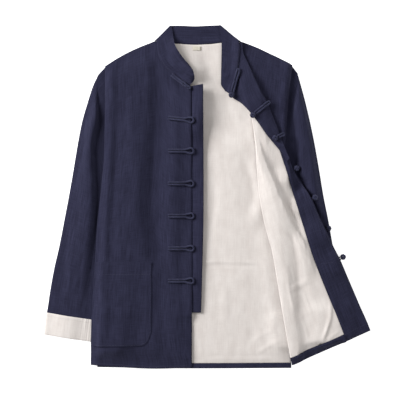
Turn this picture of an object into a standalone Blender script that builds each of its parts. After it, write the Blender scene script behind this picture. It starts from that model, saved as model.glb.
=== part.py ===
"""A lined Chinese jacket with a standing collar, laid flat on its back.

The wearer's right front lies closed over the back. The wearer's left front is thrown
open, so it turns over twice: at the hinge, where its lining comes up, and near the
neck, where its outside comes up again. Plan sizes are in millimetres from the centre
back at the hem: x towards the wearer's left, y towards the collar. Each piece is a wall
of cloth laid in turn on the pieces below it.
"""

import math
from collections import namedtuple

import bmesh
import bpy
import numpy as np

MM = 0.001

# Cloth and cord thicknesses
SHELL = 1.5
LINING = 1.0
BAND = 2.4
SLEEVE_WALL = 1.2
LABEL = 0.8
CORD = 4.4
SEAM_GAP = 0.3
SEAM_CLEAR = 0.4

# Sizes that the tables below follow
SLEEVE_HEIGHT = 3.2
FOLD_REACH = 3.0
FOLD_STEPS = 4
HINGE_GAP = 1.2
KNOT_RADIUS = 6.8
KNOT_HEIGHT = 5.2
KNOT_SEAT = 2.0
CORD_PITCH = 5.2
LOOP_LENGTH = 59.0
LOOP_HEAD = 16.0
CELL = 1.5

NAVY = (0.030, 0.031, 0.062)
NAVY_DEEP = (0.024, 0.025, 0.050)
CREAM = (0.76, 0.70, 0.655)
CREAM_CUFF = (0.74, 0.68, 0.63)
WHITE = (0.82, 0.80, 0.77)

Finish = namedtuple("Finish", "name colour roughness")
NAVY_SHELL = Finish("navy_shell", NAVY, 0.85)
NAVY_TRIM = Finish("navy_trim", NAVY_DEEP, 0.8)
CREAM_LINING = Finish("cream_lining", CREAM, 0.9)
CUFF_CLOTH = Finish("cuff_lining", CREAM_CUFF, 0.9)
LABEL_CLOTH = Finish("label_cloth", WHITE, 0.85)

# Outlines of the body. Edges give x at a height y, tops and hems give y at a place x
Edge = namedtuple("Edge", "y x")
Rim = namedtuple("Rim", "x y")
Armhole = namedtuple("Armhole", "shoulder_x shoulder_y underarm_x underarm_y bow")

RIGHT_ARMHOLE = Armhole(-196.5, 665.0, -199.0, 459.0, 1.0)
LEFT_ARMHOLE = Armhole(215.0, 667.0, 198.0, 459.0, -2.4)

RIGHT_FRONT_SIDE = [Edge(8, -229), Edge(121, -226), Edge(233, -219), Edge(305, -215), Edge(391, -206)]
BACK_RIGHT_SIDE = [Edge(3, -214.5), Edge(121, -213), Edge(305, -209), Edge(391, -204)]
BACK_LEFT_SIDE = [Edge(1, 213.5), Edge(107, 211), Edge(239, 208), Edge(371, 204)]
CENTRE_FRONT = [Edge(0, -6), Edge(134, -5.5), Edge(360, -6), Edge(622, -7)]

BACK_TOP = [
    Rim(-197, 665), Rim(-143, 699), Rim(-98, 718), Rim(-87, 718), Rim(-45, 713.5), Rim(0, 712.5),
    Rim(28, 713.5), Rim(58, 716.5), Rim(100, 718.5), Rim(113, 716), Rim(164, 694), Rim(215, 667),
]
RIGHT_FRONT_TOP = [
    Rim(-197, 665), Rim(-143, 699), Rim(-98, 718), Rim(-87, 717), Rim(-80, 688), Rim(-69, 666),
    Rim(-50, 646), Rim(-28, 629), Rim(-10, 620), Rim(-7, 619),
]
BACK_HEM = [Rim(-215, 3), Rim(0, 0), Rim(213, 1)]
RIGHT_FRONT_HEM = [Rim(-229, 8), Rim(-215, 7), Rim(-87, 0), Rim(-6, 2)]

POCKET_SIDE = [Edge(51, -118), Edge(56, -106), Edge(70, -98.5), Edge(85, -94.5), Edge(236, -94)]
POCKET_TOP_Y = 236.0
POCKET_BOTTOM_Y = 51.0

# Sleeves: each row crosses the sleeve from its outer edge to its underarm edge
SleeveRow = namedtuple("SleeveRow", "outer_x outer_y under_x under_y lift")
CUFF_LIFT = SLEEVE_WALL + SEAM_GAP
RIGHT_SLEEVE = [
    SleeveRow(-212, 648, -199.45, 457.2, 0.0), SleeveRow(-224, 622, -199.45, 456.2, 0.0),
    SleeveRow(-236, 585, -199.4, 454.6, 0.0), SleeveRow(-248, 543, -197.5, 447, 0.0),
    SleeveRow(-257, 497, -189, 422, 0.0), SleeveRow(-267, 437, -173, 386, 0.0),
    SleeveRow(-276, 385, -163, 340, 0.0), SleeveRow(-287, 327, -160, 283, 0.0),
    SleeveRow(-298, 270, -162, 226, 0.0), SleeveRow(-309, 222, -165, 187, 0.0),
    SleeveRow(-318, 173, -170, 146, 0.0), SleeveRow(-324, 131, -175, 104, CUFF_LIFT),
    SleeveRow(-325.5, 124, -176, 100, CUFF_LIFT), SleeveRow(-331, 76, -183, 53, CUFF_LIFT),
]
LEFT_SLEEVE = [
    SleeveRow(227, 651, 198.5, 457.2, 0.0), SleeveRow(234, 626, 198.5, 456.2, 0.0),
    SleeveRow(243, 593, 198.3, 454, 0.0), SleeveRow(254, 547, 195.5, 438, 0.0),
    SleeveRow(264, 499, 186, 411, 0.0), SleeveRow(275, 437, 173.5, 378, 0.0),
    SleeveRow(284, 382, 166, 335, 0.0), SleeveRow(295, 327, 163, 283, 0.0),
    SleeveRow(305, 270, 166, 226, 0.0), SleeveRow(314, 222, 170, 187, 0.0),
    SleeveRow(321, 176, 176, 147, 0.0), SleeveRow(327, 136, 182, 110, CUFF_LIFT),
    SleeveRow(328, 130, 183, 106, CUFF_LIFT), SleeveRow(335, 82, 193, 59, CUFF_LIFT),
]

# The opened left front: each row crosses it from the side seam over both folds
FrontRow = namedtuple("FrontRow", "side_y hinge_x hinge_y turn_x turn_y edge_x edge_y")
LEFT_FRONT = [
    FrontRow(667, 102.0, 718.5, 0, 0, 0, 0),
    FrontRow(651, 92.0, 697, 106.5, 699, 99.5, 689),
    FrontRow(627, 100.0, 666, 119.5, 666, 93.0, 635),
    FrontRow(600, 107.5, 635, 132.0, 637.5, 82.0, 601),
    FrontRow(574, 115.0, 604, 144.0, 611, 103.5, 582.5),
    FrontRow(547, 121.5, 576, 156.5, 590, 122.0, 562),
    FrontRow(523, 126.5, 547, 166.5, 567, 138.5, 541),
    FrontRow(497, 131.0, 516, 176.5, 542, 156.0, 516),
    FrontRow(468, 134.5, 483, 187.0, 515.5, 174.0, 494),
    FrontRow(440, 136.5, 450, 197.5, 488, 190.5, 474),
    FrontRow(411, 139.0, 420, 207.5, 462.5, 202.0, 456.5),
    FrontRow(385, 141.0, 393, 218.0, 434, 0, 0),
    FrontRow(347, 147.0, 354, 239.5, 402, 0, 0),
    FrontRow(305, 156.5, 310, 260.0, 365, 0, 0),
    FrontRow(259, 170.5, 261, 280.0, 319.5, 0, 0),
    FrontRow(213, 179.0, 213, 302.0, 275, 0, 0),
    FrontRow(165, 187.0, 165, 324.5, 230, 0, 0),
    FrontRow(118, 195.0, 116, 345.0, 183.5, 0, 0),
    FrontRow(72, 203.5, 68, 364.5, 138, 0, 0),
    FrontRow(44, 209.0, 37, 376.5, 111.5, 0, 0),
    FrontRow(17, 214.5, 8, 388.0, 84, 0, 0),
]
TURNED_ROWS = 10
STRIP_TOP_ROW = 1
FACING_TOP_ROW = 9
SIDE_PAST_HINGE = 13.0
FACING_ROWS = [1, 9, 12, 13]
FACING_WIDTHS = [6.0, 24.0, 54.0, 60.0]
HEM_TURN_UP = 19.0
BACK_TURN_UP = 12.0

# The collar band: each row crosses it from the neck seam to the free edge
BandRow = namedtuple("BandRow", "seam_x seam_y free_x free_y")
COLLAR_RIGHT = [
    BandRow(-9.5, 621.2, -3.5, 630.0), BandRow(-27.7, 630.4, -0.5, 641.0), BandRow(-49.5, 647.2, -9, 664.0),
    BandRow(-68.3, 667.0, -28, 686.0), BandRow(-79.3, 688.6, -43, 712.0),
]
COLLAR_RIGHT_FOLD = BandRow(-88.0, 721.5, -54.5, 755.5)
COLLAR_BACK = [BandRow(-45, 714.6, -33, 754.2), BandRow(0, 713.6, 1, 752.5), BandRow(58, 717.6, 33, 754.6)]
COLLAR_LEFT_FOLD = BandRow(101.5, 723.0, 58.0, 756.5)
COLLAR_LEFT = [
    BandRow(100.2, 703, 59.5, 725), BandRow(98.6, 689, 59.5, 702), BandRow(92.2, 635, 58.5, 655),
    BandRow(86.6, 618, 58, 628), BandRow(81.0, 602, 67, 611),
]

# Straps and knots of the fastening, as places in plan
Loop = namedtuple("Loop", "start_x start_y tip_x tip_y")
LOOP_HEIGHTS = [544.5, 479.0, 407.5, 336.5, 265.5, 194.5]
LOOP_START_X = -58.5
COLLAR_LOOP = Loop(-47.5, 655.0, -1.5, 613.5)
TOP_LOOP_DROP = 7.0
Knot = namedtuple("Knot", "x y strap_x strap_y")
KNOTS_ON_TOP = [
    Knot(81.0, 601.0, 96.5, 657.5), Knot(127.0, 556.0, 163.5, 585.5), Knot(176.0, 506.5, 196.0, 515.5),
]
KNOTS_AT_EDGE = [
    Knot(224.0, 441.0, 190.0, 422.0), Knot(263.5, 377.0, 229.0, 360.0),
    Knot(294.5, 309.0, 261.0, 293.0), Knot(327.0, 246.0, 294.0, 230.0),
]

# Largest soft folds: a ridge from one place to another
Ridge = namedtuple("Ridge", "start_x start_y end_x end_y height half_width")
RIGHT_FRONT_RIDGES = [
    Ridge(-62, 610, -62, 60, 1.6, 20.0), Ridge(-150, 640, -172, 250, 1.4, 26.0),
    Ridge(-108, 520, -116, 30, 1.2, 24.0),
]
BACK_RIDGES = [Ridge(20, 235, 178, 235, 1.2, 26.0), Ridge(60, 560, 110, 60, 1.0, 34.0)]
FLAP_RIDGES = [Ridge(140, 500, 196, 240, 1.6, 22.0), Ridge(262, 210, 292, 70, 1.6, 20.0)]
SLEEVE_RIDGES = [
    Ridge(-206, 500, -262, 330, 1.6, 24.0), Ridge(-258, 400, -300, 180, 1.2, 20.0),
    Ridge(212, 500, 268, 330, 1.6, 24.0),
]


def interpolate(table, at):
    """The second column of a table at a value of its first column."""
    ordered = sorted(table)
    return np.interp(at, [row[0] for row in ordered], [row[1] for row in ordered])


def armhole_x(armhole, y):
    """The armhole seam's x at a height, a shallow bow between shoulder and underarm."""
    down = (armhole.shoulder_y - y) / (armhole.shoulder_y - armhole.underarm_y)
    chord = armhole.shoulder_x + (armhole.underarm_x - armhole.shoulder_x) * down
    return chord + armhole.bow * 4 * down * (1 - down)


def body_edge(armhole, side):
    """A function giving the side of a body panel at a height: armhole above, side seam below."""
    lower = side + [Edge(armhole.underarm_y, armhole.underarm_x)]

    def edge(y):
        if y > armhole.underarm_y:
            return armhole_x(armhole, min(y, armhole.shoulder_y))
        return interpolate(lower, y)

    return edge


def panel_plan(left, right, top, bottom, top_places, rows):
    """Plan points of a panel, in rows from its top edge down to its bottom edge."""
    first, last = top_places[0], top_places[-1]
    plan = np.empty((rows, len(top_places), 2))
    for column, place in enumerate(top_places):
        share = (place - first) / (last - first)
        x_low = place
        for _ in range(3):
            y_low = bottom(x_low)
            x_low = left(y_low) + (right(y_low) - left(y_low)) * share
        for row in range(rows):
            y = top(place) + (y_low - top(place)) * row / (rows - 1)
            plan[row, column] = (left(y) + (right(y) - left(y)) * share, y)
    return plan


def ridge_lift(plan, ridges):
    """How far each plan point is lifted by the soft folds that pass it."""
    lift = np.zeros(plan.shape[:-1])
    for ridge in ridges:
        start = np.array([ridge.start_x, ridge.start_y])
        along = np.array([ridge.end_x, ridge.end_y]) - start
        length = np.linalg.norm(along)
        offset = plan - start
        share = np.clip(offset @ along / length**2, 0, 1)
        away = np.linalg.norm(offset - share[..., None] * along, axis=-1) / ridge.half_width
        round_top = np.where(away < 1, 0.5 + 0.5 * np.cos(np.pi * np.minimum(away, 1)), 0)
        lift += ridge.height * round_top * np.sin(np.pi * np.clip(share, 0.02, 0.98)) ** 0.5
    return lift


class Pile:
    """The top of everything laid so far, held on small square cells."""

    def __init__(self, low, high):
        self.low = np.array(low, float)
        size = np.ceil((np.array(high) - self.low) / CELL).astype(int)
        self.top = np.full((size[1], size[0]), -SEAM_GAP)

    def window(self, low, high):
        """Slices of the cells between two plan corners."""
        first = np.floor((np.array(low) - self.low) / CELL).astype(int)
        last = np.ceil((np.array(high) - self.low) / CELL).astype(int) + 1
        first = np.maximum(first, 0)
        return slice(first[1], last[1]), slice(first[0], last[0])

    def paint(self, plan, heights):
        """The height of a laid surface over each cell, and minus infinity where it isn't."""
        layer = np.full(self.top.shape, -np.inf)
        rows, columns = plan.shape[:2]
        for row in range(rows - 1):
            for column in range(columns - 1):
                corners = [(row, column), (row, column + 1), (row + 1, column + 1), (row + 1, column)]
                for a, b, c in ((0, 1, 2), (0, 2, 3)):
                    picked = [corners[a], corners[b], corners[c]]
                    flat = np.array([plan[place] for place in picked])
                    tall = np.array([heights[place] for place in picked])
                    self.paint_triangle(layer, flat, tall)
        return layer

    def paint_triangle(self, layer, flat, tall):
        """Adds one triangle to a layer."""
        rows, columns = self.window(flat.min(axis=0), flat.max(axis=0))
        part = layer[rows, columns]
        x = self.low[0] + (columns.start + np.arange(part.shape[1]) + 0.5) * CELL
        y = (self.low[1] + (rows.start + np.arange(part.shape[0]) + 0.5) * CELL)[:, None]
        first, second = flat[1] - flat[0], flat[2] - flat[0]
        area = first[0] * second[1] - first[1] * second[0]
        if abs(area) < 1e-9:
            return
        along = ((x - flat[0, 0]) * second[1] - (y - flat[0, 1]) * second[0]) / area
        across = ((y - flat[0, 1]) * first[0] - (x - flat[0, 0]) * first[1]) / area
        inside = (along >= 0) & (across >= 0) & (along + across <= 1)
        value = tall[0] + along * (tall[1] - tall[0]) + across * (tall[2] - tall[0])
        part[inside] = np.maximum(part[inside], value[inside])

    def rest(self, plan, soften=2):
        """The lowest height at which each plan point clears what lies under its cloth."""
        covered = np.isfinite(self.paint(plan, np.zeros(plan.shape[:2])))
        under = np.where(covered, self.top, -SEAM_GAP)
        rows, columns = plan.shape[:2]
        heights = np.empty((rows, columns))
        for row in range(rows):
            for column in range(columns):
                near = plan[max(row - 1, 0): row + 2, max(column - 1, 0): column + 2].reshape(-1, 2)
                place = self.window(near.min(axis=0) - CELL, near.max(axis=0) + CELL)
                heights[row, column] = under[place].max() + SEAM_GAP
        for _ in range(soften):
            wide = np.pad(heights, 1, mode="edge")
            mean = (wide[:-2, 1:-1] + wide[2:, 1:-1] + wide[1:-1, :-2] + wide[1:-1, 2:]) / 4
            heights = np.maximum(heights, mean)
        return heights

    def add(self, plan, heights):
        """Puts a laid surface on the pile."""
        self.top = np.maximum(self.top, self.paint(plan, heights))

    def add_fold(self, line, inward, heights):
        """Puts the round of a fold on the pile, out to its reach past a line."""
        plan = np.stack([line, line - inward * FOLD_REACH], axis=1)
        self.add(plan, np.repeat(heights[:, None], 2, axis=1))

    def lay(self, plan, thickness, lift=0.0, soften=2):
        """Lays a wall of cloth on the pile and returns its under and upper points."""
        low = self.rest(plan, soften) + lift
        self.add(plan, low + thickness)
        under = np.dstack([plan, low])
        upper = np.dstack([plan, low + thickness])
        return under, upper

    def under_cord(self, near, radius):
        """The height at which a cord's centre clears what lies under a stretch of its route."""
        place = self.window(near.min(axis=0) - radius - CELL, near.max(axis=0) + radius + CELL)
        return self.top[place].max() + SEAM_GAP + radius


def roll(lower_top, lower_under, upper_under, upper_top, outward, thickness):
    """Points round a fold between two layers, for its hollow side and its outer side."""
    hollow, outer = [], []
    for step in range(1, FOLD_STEPS):
        turn = math.pi * step / FOLD_STEPS
        for start, end, reach, found in (
            (lower_top, upper_under, FOLD_REACH - thickness, hollow),
            (lower_under, upper_top, FOLD_REACH, outer),
        ):
            middle = (start + end) / 2
            point = middle.copy()
            point[:, :2] += outward * reach * math.sin(turn)
            point[:, 2] -= (end[:, 2] - start[:, 2]) / 2 * math.cos(turn)
            found.append(point)
    return hollow, outer


def normals_of(line, towards):
    """Unit vectors square to a plan line, on the side of a given direction."""
    along = np.gradient(np.array(line, float), axis=0)
    square = np.stack([along[:, 1], -along[:, 0]], axis=1)
    square /= np.linalg.norm(square, axis=1)[:, None]
    return square * np.sign(square @ np.array(towards))[:, None]


def new_object(name, mesh, finish):
    """An object in the jacket's collection, with its own material."""
    thing = bpy.data.objects.new(name, mesh)
    jacket.objects.link(thing)
    dress(thing, finish)
    if isinstance(mesh, bpy.types.Mesh):
        mesh.shade_smooth()
        mesh.set_sharp_from_angle(angle=math.radians(50))
    return thing


def dress(thing, finish):
    """Gives an object a Principled material of its own."""
    material = bpy.data.materials.new(thing.name + "_" + finish.name)
    material.use_nodes = True
    shader = material.node_tree.nodes["Principled BSDF"]
    shader.inputs["Base Color"].default_value = (*finish.colour, 1.0)
    shader.inputs["Roughness"].default_value = finish.roughness
    shader.inputs["Metallic"].default_value = 0.0
    material.diffuse_color = (*finish.colour, 1.0)
    thing.data.materials.append(material)


def cloth_solid(name, one_side, other_side, finish, keep=None):
    """A closed wall between two like grids of points, with a rim along every free edge."""
    rows, columns = one_side.shape[:2]
    if keep is None:
        keep = np.ones((rows - 1, columns - 1), bool)
    work = bmesh.new()
    used = np.zeros((rows, columns), bool)
    for row, column in zip(*np.nonzero(keep)):
        used[row: row + 2, column: column + 2] = True
    sides = []
    for grid in (one_side, other_side):
        sides.append({
            (row, column): work.verts.new(grid[row, column] * MM) for row, column in zip(*np.nonzero(used))
        })
    edges = {}
    for row, column in zip(*np.nonzero(keep)):
        quad = [(row, column), (row, column + 1), (row + 1, column + 1), (row + 1, column)]
        work.faces.new([sides[0][place] for place in quad])
        work.faces.new([sides[1][place] for place in reversed(quad)])
        for place, following in zip(quad, quad[1:] + quad[:1]):
            if edges.pop((following, place), None) is None:
                edges[(place, following)] = True
    for place, following in edges:
        work.faces.new([sides[0][following], sides[0][place], sides[1][place], sides[1][following]])
    return finished_solid(name, work, finish)


def tube_solid(name, outer, inner, finish):
    """A closed wall between two like sets of rings, open at both ends of the tube."""
    rings, around = outer.shape[:2]
    work = bmesh.new()
    sides = [[[work.verts.new(point * MM) for point in ring] for ring in grid] for grid in (outer, inner)]
    for place in range(around):
        beside = (place + 1) % around
        for ring in range(rings - 1):
            for side, vertices in enumerate(sides):
                quad = [
                    vertices[ring][place], vertices[ring][beside],
                    vertices[ring + 1][beside], vertices[ring + 1][place],
                ]
                work.faces.new(quad if side == 0 else quad[::-1])
        for ring in (0, rings - 1):
            work.faces.new([
                sides[0][ring][place], sides[0][ring][beside], sides[1][ring][beside], sides[1][ring][place],
            ])
    return finished_solid(name, work, finish)


def finished_solid(name, work, finish):
    """Turns a working mesh into an object whose faces point out."""
    bmesh.ops.recalc_face_normals(work, faces=work.faces)
    bmesh.ops.triangulate(work, faces=work.faces, quad_method="SHORT_EDGE")
    mesh = bpy.data.meshes.new(name)
    work.to_mesh(mesh)
    work.free()
    if signed_volume(mesh) < 0:
        mesh.flip_normals()
    return new_object(name, mesh, finish)


def signed_volume(mesh):
    """Six times the volume that a mesh's faces enclose, negative if it is inside out."""
    mesh.calc_loop_triangles()
    total = 0.0
    for face in mesh.loop_triangles:
        a, b, c = (mesh.vertices[index].co for index in face.vertices)
        total += a.dot(b.cross(c))
    return total


def sleeve_sections(rows, armhole):
    """Plan lines across a sleeve, from its outer edge to its underarm edge."""
    shoulder_side = math.copysign(SEAM_CLEAR, armhole.shoulder_x)
    across = np.array([0, 0.0, 0.12, 0.26, 0.42, 0.58, 0.74, 0.88, 1.0, 1.0])
    sections = []
    y = armhole.shoulder_y - 1 + (armhole.underarm_y - armhole.shoulder_y + 2) * across
    first = np.stack([[armhole_x(armhole, value) + shoulder_side for value in y], y], axis=1)
    sections.append(first)
    bowed = first[:, 0] - (first[0, 0] + (first[-1, 0] - first[0, 0]) * across)
    for index, row in enumerate(rows):
        outer = np.array([row.outer_x, row.outer_y])
        under = np.array([row.under_x, row.under_y])
        line = outer + (under - outer) * across[:, None]
        line[:, 0] += bowed * max(0.0, 1 - (index + 1) / 4)
        sections.append(line)
    return np.array(sections)


def edge_insets(sections, inset, grow=0.0):
    """Moves the outermost points of each section in or out along it, to shape a round edge."""
    moved = sections.copy()
    along = sections[:, -1] - sections[:, 0]
    along /= np.linalg.norm(along, axis=1)[:, None]
    moved[:, 0] -= along * grow
    moved[:, -1] += along * grow
    moved[:, 1] = moved[:, 0] + along * inset
    moved[:, -2] = moved[:, -1] - along * inset
    return moved


def flat_ring(section, base, height, inset_share, lift):
    """One ring round a flattened tube: over its top and back under it."""
    count = len(section)
    middle = base + height / 2
    shape = np.ones(count)
    shape[[0, -1]] = 0.0
    shape[[1, -2]] = inset_share
    top = np.column_stack([section, middle + shape * height / 2 + lift * (shape == 1)])
    under = np.column_stack([section, middle - shape * height / 2])
    return np.concatenate([top, under[-2:0:-1]])


def make_sleeve(pile, name, rows, armhole, ridges):
    """A sleeve flattened on the surface, its end raised by the cuff turned up round it."""
    sections = sleeve_sections(rows, armhole)
    lifts = [0.0] + [row.lift for row in rows]
    outside = edge_insets(sections, 0.7)
    inside = edge_insets(sections, 0.4, -SLEEVE_WALL)
    folds = ridge_lift(outside, ridges)
    folds[[0, -3, -2, -1]] = 0
    hollow = SLEEVE_HEIGHT - 2 * SLEEVE_WALL
    outer, inner = [], []
    for row, lift in enumerate(lifts):
        outer.append(flat_ring(outside[row], lift, SLEEVE_HEIGHT, 0.82, folds[row]))
        inner.append(flat_ring(inside[row], lift + SLEEVE_WALL, hollow, 0.82, folds[row]))
    tube_solid(name, np.array(outer), np.array(inner), NAVY_SHELL)
    pile.add(outside, np.array([SLEEVE_HEIGHT + lift for lift in lifts])[:, None] + folds)
    return sections


def make_cuff(pile, name, sections):
    """The sleeve's end turned up, a band of lining round it."""
    top, end = sections[-2], sections[-1]
    down = end - top
    down /= np.linalg.norm(down, axis=1)[:, None]
    lines = np.array([top, top + (end - top) * 0.5, end + down * SEAM_CLEAR])
    reach = SLEEVE_WALL + SEAM_GAP
    outside = edge_insets(lines, 0.9, reach)
    inside = edge_insets(lines, 0.9, SEAM_GAP)
    height = SLEEVE_HEIGHT + 2 * reach
    outer = [flat_ring(line, 0.0, height, 0.8, 0.0) for line in outside]
    inner = [flat_ring(line, SLEEVE_WALL, height - 2 * SLEEVE_WALL, 0.9, 0.0) for line in inside]
    tube_solid(name, np.array(outer), np.array(inner), CUFF_CLOTH)
    pile.add(outside, np.full(outside.shape[:2], height))


def make_back(pile):
    """The back of the jacket, outside down on the surface."""
    right_half = [-197, -184, -168, -150, -124, -98, -87, -66, -45, -22]
    places = right_half + [0, 28, 58, 78, 100, 113, 138, 160, 180, 199, 215]
    plan = panel_plan(
        body_edge(RIGHT_ARMHOLE, BACK_RIGHT_SIDE), body_edge(LEFT_ARMHOLE, BACK_LEFT_SIDE),
        lambda x: interpolate(BACK_TOP, x), lambda x: interpolate(BACK_HEM, x), places, 18,
    )
    under, upper = pile.lay(plan, SHELL)
    cloth_solid("back", under, upper, NAVY_SHELL)


def make_back_lining(pile):
    """The lining of the back, which shows through the open front, and the hem turned up below it."""
    inset = 5.0
    right = body_edge(RIGHT_ARMHOLE, BACK_RIGHT_SIDE)
    left = body_edge(LEFT_ARMHOLE, BACK_LEFT_SIDE)
    places = [-191, -170, -143, -98, -87, -45, -22, 0, 28, 58, 78, 100, 130, 160, 185, 209]

    def side_right(y):
        return right(y) + inset

    def side_left(y):
        return left(y) - 1.5

    def hem(x):
        return interpolate(BACK_HEM, x) + BACK_TURN_UP

    plan = panel_plan(
        side_right, side_left, lambda x: interpolate(BACK_TOP, x) - 2.0, hem, places, 17,
    )
    under, upper = pile.lay(plan, LINING, ridge_lift(plan, BACK_RIDGES))
    cloth_solid("back_lining", under, upper, CREAM_LINING)

    turned = panel_plan(
        side_right, side_left, lambda x: interpolate(BACK_HEM, x) + BACK_TURN_UP - SEAM_CLEAR,
        lambda x: interpolate(BACK_HEM, x) + 0.5, places, 2,
    )
    under, upper = pile.lay(turned, LINING, soften=0)
    cloth_solid("back_hem_turn_up", under, upper, NAVY_SHELL)


def make_label(pile):
    """The small bare label below the back neck seam."""
    plan = panel_plan(
        lambda y: -4.0, lambda y: 14.0, lambda x: 709.5, lambda x: 700.5, [-4.0, 5.0, 14.0], 2,
    )
    under, upper = pile.lay(plan, LABEL, soften=0)
    cloth_solid("neck_label", under, upper, LABEL_CLOTH)


def make_underlap(pile):
    """The long strip behind the right front's edge, under the loops."""
    outer = [Edge(124, 14.5), Edge(191, 16.5), Edge(371, 20), Edge(624, 19)]
    plan = panel_plan(
        lambda y: -36.0, lambda y: interpolate(outer, y),
        lambda x: 621.0 + 0.17 * x, lambda x: 124.0, [-36.0, -18.0, -8.0, 4.0, 19.0], 12,
    )
    under, upper = pile.lay(plan, SHELL, soften=0)
    cloth_solid("underlap", under, upper, NAVY_SHELL)


def make_right_front(pile):
    """The wearer's right front, closed over the back, and its patch pocket."""
    side = body_edge(RIGHT_ARMHOLE, RIGHT_FRONT_SIDE)
    places = [-197, -182, -163, -143, -120, -98, -87, -80, -69, -50, -28, -10, -7]
    plan = panel_plan(
        side, lambda y: interpolate(CENTRE_FRONT, y), lambda x: interpolate(RIGHT_FRONT_TOP, x),
        lambda x: interpolate(RIGHT_FRONT_HEM, x), places, 19,
    )
    under, upper = pile.lay(plan, SHELL, ridge_lift(plan, RIGHT_FRONT_RIDGES))
    cloth_solid("right_front", under, upper, NAVY_SHELL)

    pocket_places = [-214, -200, -180, -160, -140, -118, -104, -94]
    pocket = panel_plan(
        lambda y: side(y) + 4.0, lambda y: interpolate(POCKET_SIDE, y), lambda x: POCKET_TOP_Y,
        lambda x: POCKET_BOTTOM_Y, pocket_places, 10,
    )
    under, upper = pile.lay(pocket, SLEEVE_WALL, soften=1)
    cloth_solid("pocket", under, upper, NAVY_SHELL)


def line_between(start, end, shares):
    """Plan points at given shares of the way from each start to each end."""
    return start[:, None] + (end - start)[:, None] * np.array(shares)[None, :, None]


def make_left_front(pile):
    """The wearer's left front thrown open: its shell folded twice, its lining, facing and hem."""
    side = body_edge(LEFT_ARMHOLE, BACK_LEFT_SIDE)
    hinge = np.array([[row.hinge_x, row.hinge_y] for row in LEFT_FRONT])
    side_line = np.array([
        [max(side(row.side_y), row.hinge_x + SIDE_PAST_HINGE), row.side_y] for row in LEFT_FRONT
    ])
    inward = normals_of(hinge, (1, 0))
    near_hinge = hinge + inward * FOLD_REACH

    lower = line_between(side_line, near_hinge, [0, 0.2, 0.4, 0.6, 0.8, 1.0])
    a_under, a_upper = pile.lay(lower, SHELL, soften=1)

    make_hidden_straps(pile)

    turn = np.array([[row.turn_x, row.turn_y] for row in LEFT_FRONT])
    turned = slice(STRIP_TOP_ROW, TURNED_ROWS + 1)
    back_in = np.zeros_like(turn)
    back_in[turned] = normals_of(turn[turned], (-1, 0))
    flap_end = turn + back_in * FOLD_REACH
    shares = [0, 0.14, 0.28, 0.42, 0.56, 0.7, 0.85, 1.0]
    flap = line_between(near_hinge, flap_end, shares)[STRIP_TOP_ROW:]
    from_hinge = np.linalg.norm(flap - flap[:, :1], axis=-1)
    puff = HINGE_GAP * np.exp(-from_hinge / 25.0) + ridge_lift(flap, FLAP_RIDGES)
    b_under, b_upper = pile.lay(flap, SHELL, puff, soften=1)

    make_left_lining(pile, hinge, inward, turn, flap, flap_end, a_under)

    edge = np.array([[row.edge_x, row.edge_y] for row in LEFT_FRONT])[turned]
    strip = line_between(flap_end[turned], edge, [0, 0.25, 0.5, 0.75, 1.0])
    from_turn = np.linalg.norm(strip - strip[:, :1], axis=-1)
    c_under, c_upper = pile.lay(strip, SHELL, HINGE_GAP * np.exp(-from_turn / 15.0), soften=1)
    pile.add_fold(flap_end[turned], back_in[turned], c_upper[:, 0, 2])

    rows = len(LEFT_FRONT)
    full = slice(STRIP_TOP_ROW, rows)
    hinge_hollow, hinge_outer = roll(
        a_upper[full, -1], a_under[full, -1], b_under[:, 0], b_upper[:, 0], -inward[full], SHELL
    )
    strip_rows = TURNED_ROWS + 1 - STRIP_TOP_ROW
    turn_hollow, turn_outer = roll(
        b_upper[:strip_rows, -1], b_under[:strip_rows, -1], c_under[:, 0], c_upper[:, 0],
        -back_in[turned], SHELL,
    )
    columns_a, columns_b, columns_c = lower.shape[1], flap.shape[1], strip.shape[1]
    bend = FOLD_STEPS - 1
    total = columns_a + bend + columns_b + bend + columns_c
    outside = np.zeros((rows, total, 3))
    inside = np.zeros((rows, total, 3))
    outside[:, :columns_a] = a_upper
    inside[:, :columns_a] = a_under
    start = columns_a
    outside[full, start: start + bend] = np.stack(hinge_hollow, axis=1)
    inside[full, start: start + bend] = np.stack(hinge_outer, axis=1)
    start += bend
    outside[full, start: start + columns_b] = b_under
    inside[full, start: start + columns_b] = b_upper
    start += columns_b
    outside[turned, start: start + bend] = np.stack(turn_outer, axis=1)
    inside[turned, start: start + bend] = np.stack(turn_hollow, axis=1)
    start += bend
    outside[turned, start:] = c_upper
    inside[turned, start:] = c_under
    keep = np.zeros((rows - 1, total - 1), bool)
    keep[:, : columns_a - 1] = True
    keep[STRIP_TOP_ROW:, columns_a - 1: columns_a + bend + columns_b - 1] = True
    keep[STRIP_TOP_ROW:TURNED_ROWS, columns_a + bend + columns_b - 1:] = True
    cloth_solid("left_front", outside, inside, NAVY_SHELL, keep)


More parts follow.
